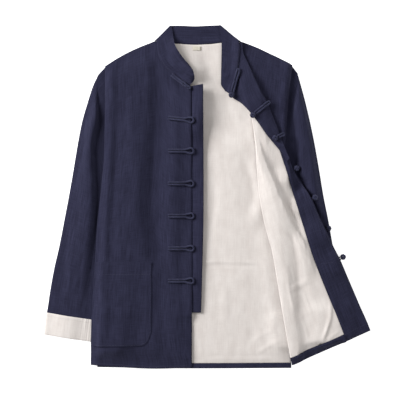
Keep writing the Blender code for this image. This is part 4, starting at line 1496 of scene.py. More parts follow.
@dataclass
class LeftFront:
    """The wearer's left front thrown open: its shell folded twice, its lining, facing and hem.

    A row holds the side's y, then the hinge, the turn and the turned edge on one line across
    the front. turned_last and facing_top count these rows. climb is how far from the hinge the
    fold is full above the height in climb_fall, and how much farther below it. marks are two
    short rows of sewing across the facing.
    """

    rows: tuple[tuple[float, ...], ...] = (
        (667, 93.0, 718.5, 105.0, 717.5, 97.0, 716.0), (651, 92.0, 697, 106.5, 699, 96.0, 690),
        (627, 100.0, 666, 119.5, 666, 90.5, 637), (600, 107.5, 635, 132.0, 637.5, 80.0, 602.5),
        (574, 115.0, 604, 144.0, 611, 103.5, 582.5), (547, 121.5, 576, 156.5, 590, 122.0, 562),
        (523, 126.5, 547, 166.5, 567, 138.5, 541), (497, 131.0, 516, 176.5, 542, 156.0, 516),
        (468, 134.5, 483, 187.0, 515.5, 174.0, 494), (440, 136.5, 450, 197.5, 488, 190.5, 474),
        (411, 139.0, 420, 207.5, 462.5, 202.0, 456.5), (385, 141.0, 393, 218.0, 434),
        (347, 147.0, 354, 239.5, 402), (305, 156.5, 310, 260.0, 365),
        (259, 170.5, 261, 280.0, 319.5), (213, 179.0, 213, 302.0, 275),
        (165, 187.0, 165, 324.5, 230), (118, 195.0, 116, 345.0, 183.5),
        (72, 203.5, 68, 364.5, 138), (44, 209.0, 37, 376.5, 111.5), (17, 214.5, 8, 388.0, 84),
    )
    fine: int = 8
    turned_last: int = 10
    facing_top: int = 9
    fold_reach: float = 1.3
    side_past_hinge: float = 13.0
    hem_turn_up: float = 19.0
    spacing: float = 4.5
    shell: float = 1.1
    lining: float = 0.8
    facing_seam: Places = (
        (40, 340), (72, 329), (239, 262), (264, 253), (318, 236.5), (371, 220), (401, 211),
        (458, 193.5), (480, 186), (520, 172), (560, 150), (600, 122), (640, 106), (700, 101),
    )
    fold: SoftFold = SoftFold(FOLD_CREST, 14.0, 48.0, 5.0, (190, 90), (540, 90))
    climb: tuple[float, float] = (6.0, 30.0)
    climb_fall: tuple[float, float] = (500.0, 110.0)
    body_creases: tuple[Crease, ...] = (
        Crease((204, 690), (190, 480), 7.5, 15.0, 2.0, fade=0.15),
        Crease((150, 680), (176, 560), 1.2, 18.0, 5.0),
    )
    flap_creases: tuple[Crease, ...] = (
        Crease((188, 440), (232, 330), 2.2, 13.0, -6.0),
        Crease((232, 330), (300, 150), 2.0, 20.0, 4.0),
        Crease((196, 230), (214, 60), 2.4, 24.0, 3.0),
        Crease((244, 210), (262, 50), -1.8, 20.0, 5.0),
        Crease((286, 160), (322, 90), 1.4, 14.0, -4.0),
    )
    lining_creases: tuple[Crease, ...] = (
        Crease((296, 154), (276, 56), 3.4, 6.5, 8.0, 1.4),
        Crease((206, 172), (254, 192), 1.2, 5.0, 3.0, 1.3),
        Crease((286, 150), (264, 66), -2.2, 6.0, 8.0, 1.2),
        Crease((206, 168), (262, 196), 1.5, 5.0, 4.0, 1.3),
        Crease((228, 130), (250, 60), 1.2, 7.0, 3.0, 1.3),
        Crease((256, 44), (216, 22), 1.4, 5.0, 3.0),
        Crease((318, 88), (288, 64), 1.3, 5.0, 2.0),
        Crease((186, 300), (230, 262), 1.2, 7.0, 3.0),
        Crease((190, 240), (216, 120), 1.3, 9.0, 4.0),
        Crease((240, 180), (262, 110), 1.0, 6.0, -3.0),
        Crease((214, 300), (252, 240), 1.6, 7.0, -3.0),
        Crease((184, 190), (200, 70), 1.0, 9.0, 3.0),
    )
    marks: tuple[Places, ...] = (
        ((258.5, 303.0), (278.5, 305.5)), ((276.0, 232.8), (304.5, 235.0)),
    )

    def __post_init__(self) -> None:
        """Draws the fold lines finely."""
        count = len(self.rows)
        index = np.arange(count)
        last = (count - 1) * self.fine
        self.steps = np.arange(last + 1) / self.fine
        self.side_y = Curve(index, [row[0] for row in self.rows])(self.steps)
        self.hinge = Curve(index, [row[1:3] for row in self.rows])(self.steps)
        self.turn = Curve(index, [row[3:5] for row in self.rows])(self.steps)
        self.turned = self.turned_last * self.fine + 1
        folded = self.rows[: self.turned_last + 1]
        edge = Curve(index[: len(folded)], [row[5:7] for row in folded])
        self.edge = edge(self.steps[: self.turned])

    def roll(self, lower: Layer, upper: Layer, outward: Grid) -> Layer:
        """Points round a fold between two layers, for its hollow side and its outer side."""
        return roll(lower, upper, outward, self.shell, self.fold_reach)

    def build(self, pile: Pile, hidden: Callable[[], None]) -> None:
        """Lays the whole opened front.

        Args:
            pile: The pile.
            hidden: Lays what comes between its two lower layers.
        """
        inward = normals_of(self.hinge, (1, 0))
        near = self.hinge + inward * self.fold_reach
        side_x = np.maximum(BACK_LEFT.x_at(self.side_y), self.hinge[:, 0] + self.side_past_hinge)
        side = np.stack([side_x, self.side_y], axis=1)
        lower = between(side, near, np.linspace(0, 1, 17))
        arch = BACK_TOP(lower[0, :, 0]) + 0.4 - lower[0, :, 1]
        lower[..., 1] += arch * np.clip(1 - np.arange(len(lower)) / 20, 0, 1)[:, None]
        body = Drape(loft=6.0, reach=26.0, creases=self.body_creases, ripple=0.35, seed=8)
        body_layer = self.plain_lay(pile, lower, body, 6)
        hidden()

        back_in = normals_of(self.turn, (-1, 0))
        ease = np.clip((self.turned_last + 0.4 - self.steps) / 1.2, 0, 1)[:, None]
        back_in = back_in * ease
        flap_end = self.turn + back_in * self.fold_reach
        flap = between(near, flap_end, np.linspace(0, 1, 36))
        (close, more), (start, run) = self.climb, self.climb_fall
        climb = close + more * smoothstep((start - flap[..., 1]) / run)
        past = flap[..., 0] - flap[:, :1, 0] + 4.0
        puff = self.fold.lift(flap) * smoothstep(past / climb)
        drape = Drape(loft=3.0, reach=20.0, creases=self.flap_creases, ripple=0.5, seed=9)
        flap_layer = self.plain_lay(pile, flap, drape, 8, puff)
        self.build_lining(pile, inward, flap, flap_end, body_layer[0])

        strip = between(flap_end[: self.turned], self.edge, np.linspace(0, 1, 14))
        from_turn = np.linalg.norm(strip - strip[:, :1], axis=-1)
        swell = 1.6 * np.exp(-from_turn / 15.0)
        strip_layer = self.plain_lay(pile, strip, Drape(ripple=0.3, seed=5), 5, swell)
        self.shell_mesh(body_layer, flap_layer, strip_layer, inward, back_in)
        self.sew(pile)

    def plain_lay(
        self, pile: Pile, plan: Grid, drape: Drape, soften: int, more: np.ndarray | float = 0.0
    ) -> Layer:
        """Lays one layer of the shell, with no rim of its own.

        Args:
            pile: The pile.
            plan: The layer's plan grid.
            drape: How it stands clear.
            soften: Rounds of evening out.
            more: Height added on top of the drape.

        Returns:
            Its lower and upper points.
        """
        low = pile.rest(plan, REACH_SHARE * self.spacing, soften) + drape.lift(plan) + more
        pile.add(plan, low + self.shell)
        return np.dstack([plan, low]), np.dstack([plan, low + self.shell])

    def shell_mesh(
        self, lower: Layer, flap: Layer, strip: Layer, inward: Grid, back_in: Grid
    ) -> None:
        """Joins the three layers by their two folds.

        Args:
            lower: The lowest layer.
            flap: The layer on it.
            strip: The turned-back strip.
            inward: Vectors from the hinge into the layers.
            back_in: Vectors from the turn into the layers.
        """
        (a_low, a_high), (b_low, b_high), (c_low, c_high) = lower, flap, strip
        rows = len(self.steps)
        full, turned = slice(0, rows), slice(0, self.turned)
        hollow, outer = self.roll(
            (a_low[:, -1], a_high[:, -1]), (b_low[:, 0], b_high[:, 0]), -inward
        )
        turn_hollow, turn_outer = self.roll(
            (b_low[turned, -1], b_high[turned, -1]), (c_low[:, 0], c_high[:, 0]), -back_in[turned]
        )
        parts = [
            (full, a_high, a_low), (full, hollow, outer), (full, b_low, b_high),
            (turned, turn_outer, turn_hollow), (turned, c_high, c_low),
        ]
        starts = np.concatenate([[0], np.cumsum([first.shape[1] for _, first, _ in parts])])
        outside, inside = np.zeros((2, rows, starts[-1], 3))
        for place, (where, first, second) in enumerate(parts):
            outside[where, starts[place]: starts[place + 1]] = first
            inside[where, starts[place]: starts[place + 1]] = second
        keep = np.zeros((rows - 1, starts[-1] - 1), bool)
        keep[:, : starts[3] - 1] = True
        keep[: self.turned - 1, starts[3] - 1:] = True
        shell = Shell(outside, inside, keep)
        Cloth("left_front", shell, NAVY, Slot.SHELL, Held.FOLDED, ("back_lining",)).place()

    def build_lining(
        self, pile: Pile, inward: Grid, flap: Grid, flap_end: Grid, body: Grid
    ) -> None:
        """Lays the lining, facing and turned-up hem on the opened front.

        Args:
            pile: The pile.
            inward: Vectors from the hinge into the layers.
            flap: Plan grid of the layer below.
            flap_end: Its far edge.
            body: Lower points of the lowest layer.
        """
        run = self.turn - flap[:, 0]
        unit = unit_of(run)
        seam = self.seam_points(flap[:, 0], unit)
        start, end = flap[:, 0].copy(), seam.copy()
        hem_rows = self.hem_rows(start)
        self.seam, self.hem_line = seam, (start[-1 - hem_rows], seam[-1 - hem_rows])
        lining = between(start, end, np.linspace(0, 1, 44))[: len(start) - hem_rows]
        drape = Drape(
            held_sides=(Side.RIGHT, Side.BOTTOM), creases=self.lining_creases, ripple=0.35, seed=12
        )
        low = pile.rest(lining, 4.2, 2) + drape.lift(lining)
        pile.add(lining, low + self.lining)
        under, upper = np.dstack([lining, low]), np.dstack([lining, low + self.lining])
        held = slice(0, len(lining))
        wrap_under, wrap_upper = [], []
        middle = (body[held, -1, 2] + under[:, 0, 2]) / 2
        for share in np.linspace(0.36, 0.9, 7):
            for grid, reach, found in (
                (under, self.fold_reach + Pile.gap, wrap_under),
                (upper, self.fold_reach + Pile.gap + self.lining, wrap_upper),
            ):
                point = grid[:, 0].copy()
                half = grid[:, 0, 2] - middle
                point[:, :2] -= inward[held] * reach * math.sin(math.pi * share)
                point[:, 2] = middle - half * math.cos(math.pi * share)
                found.append(point)
        under = np.concatenate([np.stack(wrap_under, axis=1), under], axis=1)
        upper = np.concatenate([np.stack(wrap_upper, axis=1), upper], axis=1)
        shell = Shell(upper, under)
        Cloth("left_lining", shell, CREAM, Slot.LINING, Held.FOLDED, ("left_front",)).place()

        top = self.facing_top * self.fine
        facing = between(seam[top:] + unit[top:] * 0.4, flap_end[top:], np.linspace(0, 1, 14))
        shell = LaidCloth(facing, 1.0, Drape(ripple=0.15, seed=2), self.spacing, 2).lay(pile)
        Cloth("left_facing", shell, NAVY, Slot.SHELL, rests_on=("left_front",)).place()

        hem = between(start[-1 - hem_rows:], seam[-1 - hem_rows:], np.linspace(0, 1, 30))
        step = hem[1] - hem[0]
        hem[0] += step * (0.4 / np.linalg.norm(step, axis=-1))[:, None]
        shell = LaidCloth(hem, 1.0, Drape(), self.spacing, 2).lay(pile)
        Cloth("left_hem_turn_up", shell, NAVY, Slot.SHELL, rests_on=("left_front",)).place()

    def seam_points(self, start: Grid, unit: Grid) -> Grid:
        """Where each grid row meets the seam of the lining and the facing.

        Args:
            start: Where the rows start.
            unit: Their directions.

        Returns:
            A plan point for each row.
        """
        line = line_of(self.facing_seam)
        seam = start + unit * 10.0
        for _ in range(12):
            far = (line(seam[:, 1]) - seam[:, 0]) / unit[:, 0]
            seam = seam + unit * np.clip(far, -12.0, 12.0)[:, None]
        return seam

    def hem_rows(self, start: Grid) -> int:
        """How many grid rows the turned-up hem takes."""
        step = float(np.linalg.norm(start[-1] - start[-2]))
        return max(2, round(self.hem_turn_up / step))

    def sew(self, pile: Pile) -> None:
        """Adds the sewing that shows on the opened front.

        Args:
            pile: The pile.
        """
        edge = Stitches("left_front_stitches", THREAD_NAVY, Slot.SHELL)
        outer = self.turn[self.facing_top * self.fine + 14:-3]
        inner = outer + normals_of(outer, (-1, 0)) * 3.2
        edge.on(pile, inner[::3])
        hem_step = self.hem_line[1] - self.hem_line[0]
        beside = np.array([-hem_step[1], hem_step[0]]) / np.linalg.norm(hem_step)
        begin, end = self.hem_line[0], self.hem_line[1] + hem_step * 0.5
        edge.on(pile, [begin - beside * 1.4, end - beside * 1.4], False)
        for mark in self.marks:
            edge.on(pile, mark, False)
        strip_edge = self.edge[10:-6] + normals_of(self.edge[10:-6], (1, 0)) * 2.6
        edge.on(pile, strip_edge[::3])
        edge.place()


def roll(
    lower: Layer, upper: Layer, outward: Grid, thickness: float, fold_reach: float, steps: int = 8
) -> Layer:
    """Points round a fold between two layers, for its hollow side and its outer side.

    Args:
        lower: Edge points of the lower layer's two faces.
        upper: The same of the upper layer.
        outward: Vectors out of the fold.
        thickness: Thickness of the cloth.
        fold_reach: How far the fold stands out.
        steps: How many steps its half turn takes.

    Returns:
        Points of the hollow side and of the outer side.
    """
    hollow, outer = [], []
    for step in range(1, steps):
        turn = math.pi * step / steps
        for start, end, reach, found in (
            (lower[1], upper[0], fold_reach - thickness, hollow),
            (lower[0], upper[1], fold_reach, outer),
        ):
            point = (start + end) / 2
            point[:, :2] += outward * reach * math.sin(turn)
            point[:, 2] -= (end[:, 2] - start[:, 2]) / 2 * math.cos(turn)
            found.append(point)
    return np.stack(hollow, axis=1), np.stack(outer, axis=1)


@dataclass
class Collar:
    """The standing collar: a stiff band folded at both sides of the neck.

    A row holds a place on the neck seam and the place above it on the band's upper edge. The
    rows of both halves start or end at the neck's opening. shares say where the lines along the
    band lie between the two.
    """

    right: tuple[tuple[float, float, float, float], ...] = (
        (-9.5, 621.2, -3.5, 629.0), (-16.0, 624.2, 0.2, 637.0), (-27.7, 630.4, -2.0, 650.0),
        (-49.5, 647.2, -12.5, 667.0), (-68.3, 667.0, -28, 686.0), (-79.3, 688.6, -43, 712.0),
    )
    right_fold: tuple[float, float, float, float] = (-88.0, 721.5, -54.5, 755.5)
    back: tuple[tuple[float, float, float, float], ...] = (
        (-45, 714.6, -33, 755.6), (0, 713.6, 1, 754.4), (58, 717.6, 33, 755.8),
    )
    left_fold: tuple[float, float, float, float] = (101.5, 719.4, 58.0, 756.5)
    left: tuple[tuple[float, float, float, float], ...] = (
        (100.2, 702, 59.5, 725), (98.6, 689, 59.5, 702), (92.2, 635, 58.5, 655),
        (86.6, 618, 58, 628), (81.0, 602, 67, 611),
    )
    band: float = 2.4
    fold_reach: float = 3.0
    fold_stretch: float = 1.4
    spacing: float = 3.6
    shares: tuple[float, ...] = (0, 0.03, 0.1, 0.2, 0.3, 0.4, 0.5, 0.6, 0.7, 0.8, 0.9, 0.97, 1.0)
    right_creases: tuple[Crease, ...] = (
        Crease((-40, 740), (8, 630), 11.0, 26.0, -14.0, fade=0.15),
        Crease((-30, 640), (-8, 660), -0.8, 6.0, 2.0),
        Crease((-62, 720), (-58, 690), 0.9, 9.0, 2.0),
        Crease((-46, 668), (-26, 690), 0.7, 6.0, 1.0),
    )
    left_creases: tuple[Crease, ...] = (
        Crease((62, 632), (88, 656), 1.6, 7.0, 3.0, 1.2),
        Crease((66, 618), (90, 640), -1.2, 6.0, 2.0),
        Crease((74, 700), (72, 640), 0.6, 8.0, 2.0),
    )

    def inward(self) -> np.ndarray:
        """The way from the right fold towards the middle, as long as the folds are stretched."""
        return np.array([self.fold_stretch, 0.0])

    def lines(self, rows: Sequence[tuple[float, float, float, float]], count: int) -> Grid:
        """Fine plan lines across the band."""
        table = Curve(np.arange(len(rows)), rows)(np.linspace(0, len(rows) - 1, count))
        return between(table[:, :2], table[:, 2:], np.array(self.shares))

    def lay(self, pile: Pile, plan: Grid, drape: Drape, soften: int) -> Layer:
        """Lays one part of the band.

        Args:
            pile: The pile.
            plan: The part's plan grid.
            drape: How it stands clear.
            soften: Rounds of evening out.

        Returns:
            Its lower and upper points.
        """
        low = pile.rest(plan, 1.1 * self.spacing, soften) + drape.lift(plan)
        rim = np.interp(np.arange(len(self.shares)), [0, 1, 2], [1.3, 0.4, 0.0])
        high = low + self.band - rim
        pile.add(plan, high)
        return np.dstack([plan, low]), np.dstack([plan, high])

    def build_back(self, pile: Pile) -> None:
        """Lays the part behind the neck, before the fronts.

        Args:
            pile: The pile.
        """
        folds = self.lines([self.right_fold, self.left_fold], 2)
        step = self.inward() * self.fold_reach
        first, last = folds[0] + step, folds[1] - step
        rows = [(*first[0], *first[-1]), *self.back, (*last[0], *last[-1])]
        self.back_plan = self.lines(rows, 45)
        self.back_part = self.lay(pile, self.back_plan, Drape(ripple=0.2, seed=7), 2)

    def build_right(self, pile: Pile) -> None:
        """Lays the half on the closed front.

        Args:
            pile: The pile.
        """
        start = self.back_plan[0]
        plan = self.lines([(*start[0], *start[-1]), *self.right[::-1]], 52)
        drape = Drape(creases=self.right_creases, ripple=0.2, seed=5)
        self.right_part = self.lay(pile, plan, drape, 5)

    def build_left(self, pile: Pile) -> None:
        """Lays the half on the opened front and joins the whole band.

        Args:
            pile: The pile.
        """
        start = self.back_plan[-1]
        plan = self.lines([(*start[0], *start[-1]), *self.left], 48)
        drape = Drape(creases=self.left_creases, ripple=0.2, seed=15)
        left_low, left_high = self.lay(pile, plan, drape, 5)
        right_low, right_high = self.right_part
        back_low, back_high = self.back_part
        bends = []
        for place, (low, high), way in ((0, self.right_part, -1), (-1, (left_low, left_high), 1)):
            outward = np.tile(way * self.inward(), (len(self.shares), 1))
            ends = (back_low[place], back_high[place]), (low[0], high[0])
            found = roll(*ends, outward, self.band, self.fold_reach)
            bends.append([side.swapaxes(0, 1) for side in found])
        (hollow, round_side), (left_hollow, left_round) = bends
        inner = right_low[::-1], hollow[::-1], back_high, left_hollow, left_low
        outer = right_high[::-1], round_side[::-1], back_low, left_round, left_high
        shell = Shell(np.concatenate(outer), np.concatenate(inner))
        rests_on = ("right_front", "left_front")
        Cloth("collar", shell, NAVY, Slot.SHELL, Held.FOLDED, rests_on).place()
        self.sew(pile)

    def sew(self, pile: Pile) -> None:
        """Adds the rows of sewing beside the neck seam.

        Args:
            pile: The pile.
        """
        seam = Stitches("collar_stitches", THREAD_NAVY, Slot.SHELL)
        left = np.array([row[:2] for row in self.left]) - np.array([3.0, 0.0])
        seam.on(pile, left)
        right = np.array([row[:2] for row in self.right]) + np.array([1.8, 2.4])
        seam.on(pile, right[1:])
        seam.place()


def ring_of(beside: np.ndarray, up: np.ndarray, turn: np.ndarray) -> Grid:
    """Rings of directions round a line, from two directions square to it."""
    across = beside[:, None] * np.cos(turn)[None, :, None]
    return across + up[:, None] * np.sin(turn)[None, :, None]


@dataclass
class Cord:
    """A tube of bias cloth, sewn down along a route.

    Attributes:
        name: The piece's name.
        node: The CAD node that it stands for.
        radius: Half its thickness.
    """

    name: str
    node: str
    radius: float = 2.2

    def mesh(self, points: np.ndarray, sides: int = 12) -> bpy.types.Mesh:
        """A round tube with rounded ends and a slight twist in its cloth.

        Args:
            points: Points along its middle.
            sides: How many sides it has.

        Returns:
            The mesh.
        """
        run = run_along(points)
        count = max(8, int(run[-1] / 1.1))
        asked = np.linspace(0, run[-1], count)
        route = Curve(run, points)(asked)
        tangent = unit_of(np.gradient(route, axis=0))
        beside = unit_of(np.cross(tangent, [0.0, 0.0, 1.0]), 1e-6)
        up = np.cross(beside, tangent)
        end = np.minimum(asked, run[-1] - asked)
        radius = self.radius * np.sqrt(np.clip(1 - (1 - np.minimum(end / 1.8, 1)) ** 2, 0.02, 1))
        radius = radius * (1 + 0.035 * np.sin(asked * 2.1))
        turn = np.linspace(0, 2 * math.pi, sides, endpoint=False)
        ring = ring_of(beside, up, turn)
        tube = route[:, None] + ring * radius[:, None, None]
        grid = np.arange(count * sides).reshape(count, sides)
        following = np.roll(grid, -1, axis=1)
        quads = np.stack([grid[:-1], following[:-1], following[1:], grid[1:]], axis=-1)
        flat = np.dstack([
            np.broadcast_to(turn * self.radius, (count, sides)) + asked[:, None] * 0.7,
            np.broadcast_to(asked[:, None], (count, sides)),
        ])
        return closed_tube(self.name, tube, quads.reshape(-1, 4), flat)


def closed_tube(name: str, tube: Grid, quads: np.ndarray, flat: Grid) -> bpy.types.Mesh:
    """A tube's mesh with both its ends drawn together to a point.

    Args:
        name: The mesh's name.
        tube: A ring of points for each step.
        quads: Faces between the rings.
        flat: Cloth coordinates of each point.

    Returns:
        The mesh.
    """
    count, sides = tube.shape[:2]
    points = tube.reshape(-1, 3)
    middles = np.stack([tube[0].mean(axis=0), tube[-1].mean(axis=0)])
    points = np.concatenate([points, middles])
    coordinates = np.concatenate([flat.reshape(-1, 2), flat[[0, -1], 0]])
    ends = []
    for row, middle, order in ((0, count * sides, 1), (count - 1, count * sides + 1, -1)):
        for place in range(0, sides, 2):
            corners = [row * sides + (place + step) % sides for step in (0, 1, 2)]
            ends.append([*corners[::-order], middle])
    return mesh_from(name, points, np.concatenate([quads, np.array(ends)]), coordinates)


@dataclass
class Fastenings:
    """Seven knots and loops of cord.

    Attributes:
        loop_heights: Height of each loop's tip below the collar's.
        loop_start_x: Where these loops start.
        loop_length: Length of a loop.
        loop_head: Width of its eye.
        collar_loop: Start and tip of the collar's loop.
        collar_pitch: Distance between its two cords.
        collar_head: Width of its eye.
        top_drop: How much higher the first loop's start lies than its tip.
        pitch: Distance between the two cords of a loop or strap.
        radius: Half the cord's thickness.
        knot_radius: Half a knot's width.
        knot_height: Half its height.
        seat: How far a strap's end lies below the knot's middle.
        knots_on_top: Knot, then the far end of its strap, where they lie on the turned strip.
        knots_at_edge: The same where the strap is under the opened front.
    """

    loop_heights: tuple[float, ...] = (544.5, 479.0, 407.5, 336.5, 265.5, 194.5)
    loop_start_x: float = -58.5
    loop_length: float = 59.0
    loop_head: float = 16.0
    collar_loop: tuple[float, float, float, float] = (-50.6, 645.6, -5.0, 610.6)
    collar_pitch: float = 4.0
    collar_head: float = 9.0
    top_drop: float = 7.0
    pitch: float = 5.0
    radius: float = 2.2
    knot_radius: float = 6.6
    knot_height: float = 4.9
    seat: float = 2.0
    knots_on_top: tuple[tuple[float, float, float, float], ...] = (
        (81.0, 601.0, 96.5, 657.5), (127.0, 556.0, 163.5, 585.5), (176.0, 506.5, 196.0, 515.5),
    )
    knots_at_edge: tuple[tuple[float, float, float, float], ...] = (
        (224.0, 441.0, 190.0, 422.0), (263.5, 377.0, 229.0, 360.0),
        (294.5, 309.0, 261.0, 293.0), (327.0, 246.0, 294.0, 230.0),
    )

    def route(self, start: Sequence, tip: Sequence, outline: Sequence) -> np.ndarray:
        """Plan points of a cord drawn as distances along and beside its line.

        Args:
            start: Plan place where the line starts.
            tip: Plan place where it ends.
            outline: Distances along and beside the line.

        Returns:
            A plan point for each pair.
        """
        first, last = np.array(start, float), np.array(tip, float)
        along = unit_of(last - first)
        beside = np.array([-along[1], along[0]])
        return np.array([first + along * far + beside * off for far, off in outline])

    def lay(
        self, pile: Pile, number: int, kind: str, plan: np.ndarray, end_height: float = 0.0
    ) -> None:
        """Lays one cord on the pile along plan points.

        Args:
            pile: The pile.
            number: The fastening's number.
            kind: What the cord makes.
            plan: Plan points along its middle.
            end_height: Height at which its ends are held.
        """
        run = run_along(plan)
        asked = np.linspace(0, run[-1], max(12, int(run[-1] / 2.2)))
        fine = Curve(run, plan)(asked)
        height = pile.over(fine, self.radius + 0.4) + Pile.gap + self.radius
        for _ in range(3):
            wide = np.pad(height, 1, mode="edge")
            height = np.maximum(height, (wide[:-2] + wide[2:]) / 2)
        if end_height:
            end = np.minimum(asked, run[-1] - asked)
            height = np.maximum(height, end_height - 0.28 * end)
        points = np.column_stack([fine, height])
        cord = Cord(f"{kind}_{number}_cord", f"{kind}_{number}", self.radius)
        Piece(cord.name, cord.mesh(points), NAVY_CORD, Slot.TRIM, (cord.node,)).place()
        pile.add_points(points, self.radius)

    def build_loops(self, pile: Pile) -> None:
        """Lays the collar's loop and six loops down the closed front.

        Args:
            pile: The pile.
        """
        loops = [self.collar_loop]
        for number, height in enumerate(self.loop_heights):
            drop = self.top_drop if number == 0 else 0.0
            tip_x = self.loop_start_x + self.loop_length
            loops.append((self.loop_start_x, height + drop, tip_x, height))
        for number, loop in enumerate(loops, 1):
            on_collar = number == 1
            half = (self.collar_pitch if on_collar else self.pitch) / 2
            head = ((self.collar_head if on_collar else self.loop_head) - 2 * self.radius) / 2
            start, tip = loop[:2], loop[2:]
            length = math.dist(start, tip) - self.radius
            one_way = [(0, half), (14, half), (28, half), (length - 19, half + 0.2)]
            one_way.append((length - 13.5, head * 0.72))
            for turn in np.linspace(math.pi * 0.35, math.pi, 7):
                one_way.append((length - 6 - head * math.cos(turn), head * math.sin(turn)))
            outline = one_way + [(far, -off) for far, off in one_way[-2::-1]]
            self.lay(pile, number, "loop", self.route(start, tip, outline))

    def strap_outline(self, length: float) -> list[tuple[float, float]]:
        """A doubled cord that turns back on itself at its far end.

        Args:
            length: Length of the strap.

        Returns:
            Distances along and beside its line.
        """
        half = self.pitch / 2
        far = length - half
        bend = [
            (far + half * math.sin(turn), half * math.cos(turn))
            for turn in np.linspace(0, math.pi, 7)
        ]
        straight = [(share * far, half) for share in (0, 0.33, 0.66)]
        return straight + bend + [(along, -off) for along, off in straight[::-1]]

    def build_fastener(self, pile: Pile, number: int, knot: Sequence[float]) -> None:
        """Lays a knot and the strap that holds it.

        Args:
            pile: The pile.
            number: The fastening's number.
            knot: Plan place of the knot, then of the strap's far end.
        """
        centre, end = np.array(knot[:2]), np.array(knot[2:])
        reach = self.knot_radius * 0.7
        height = float(pile.over(centre[None], reach)[0]) + Pile.gap + self.knot_height
        name = f"knot_{number}"
        Knot(f"{name}_cord", name, self.knot_radius, self.knot_height).place(centre, height)
        start = centre + unit_of(end - centre) * (self.knot_radius - 0.6)
        outline = self.strap_outline(float(np.linalg.norm(end - start)))
        route = self.route(start, end, outline)
        self.lay(pile, number, "strap", route, height - self.seat)

    def build_hidden(self, pile: Pile) -> None:
        """Lays the fasteners whose straps are under the opened front."""
        for number, knot in enumerate(self.knots_at_edge, len(self.knots_on_top) + 1):
            self.build_fastener(pile, number, knot)

    def build_on_top(self, pile: Pile) -> None:
        """Lays the three fasteners on the turned strip and the collar."""
        for number, knot in enumerate(self.knots_on_top, 1):
            self.build_fastener(pile, number, knot)


@dataclass
class Knot:
    """A round knot of cord, wound over and under itself.

    Attributes:
        name: The piece's name.
        node: The CAD node that it stands for.
        radius: Half its width.
        height: Half its height.
        cord: Half the cord's thickness.
        sides: How many sides the cord has.
    """

    name: str
    node: str
    radius: float
    height: float
    cord: float = 2.05
    sides: int = 8

    def place(self, centre: np.ndarray, height: float) -> None:
        """Builds the knot round a core and puts it in the scene.

        Args:
            centre: Plan place of its middle.
            height: Height of its middle.
        """
        turns = np.linspace(0, 2 * math.pi, 150, endpoint=False)
        longitude, latitude = 3 * turns, 0.95 * np.sin(4 * turns)
        reach = self.radius - self.cord * 0.98 + 0.42 * np.cos(8 * turns + 0.6)
        route = np.stack([
            reach * np.cos(latitude) * np.cos(longitude),
            reach * np.cos(latitude) * np.sin(longitude),
            reach * np.sin(latitude) * self.height / self.radius,
        ], axis=1)
        tangent = unit_of(np.roll(route, -1, axis=0) - np.roll(route, 1, axis=0))
        beside = unit_of(np.cross(tangent, unit_of(route)))
        out = np.cross(beside, tangent)
        turn = np.linspace(0, 2 * math.pi, self.sides, endpoint=False)
        tube = route[:, None] + ring_of(beside, out * 0.82, turn) * self.cord
        grid = np.arange(tube.shape[0] * self.sides).reshape(-1, self.sides)
        ahead, following = np.roll(grid, -1, axis=0), np.roll(grid, -1, axis=1)
        faces = np.stack([grid, following, np.roll(ahead, -1, axis=1), ahead], axis=-1)
        flat = np.dstack([
            np.broadcast_to(turn * self.cord, tube.shape[:2]) + turns[:, None] * 20,
            np.broadcast_to(turns[:, None] * 24, tube.shape[:2]),
        ]).reshape(-1, 2)
        points = tube.reshape(-1, 3) + np.array([*centre, height])
        mesh = mesh_from(self.name, points, faces.reshape(-1, 4), flat)
        Piece(self.name, mesh, NAVY_CORD, Slot.TRIM, (self.node,)).place()


@dataclass(frozen=True)
class Lamp:
    """A square soft light that looks at the jacket's middle.

    Attributes:
        name: Its name.
        place: Where it stands, in metres.
        size: Its side, in metres.
        power: Its power in watts.
    """

    name: str
    place: tuple[float, float, float]
    size: float
    power: float

    def build(self) -> None:
        """Puts the light in the scene."""
        data = bpy.data.lights.new(self.name, "AREA")
        data.shape = "SQUARE"
        data.size = self.size
        data.energy = self.power
        lamp = bpy.data.objects.new(self.name, data)
        bpy.context.scene.collection.objects.link(lamp)
        lamp.location = self.place
        towards = Vector((0, 0, 0)) - lamp.location
        lamp.rotation_euler = towards.to_track_quat("-Z", "Y").to_euler()


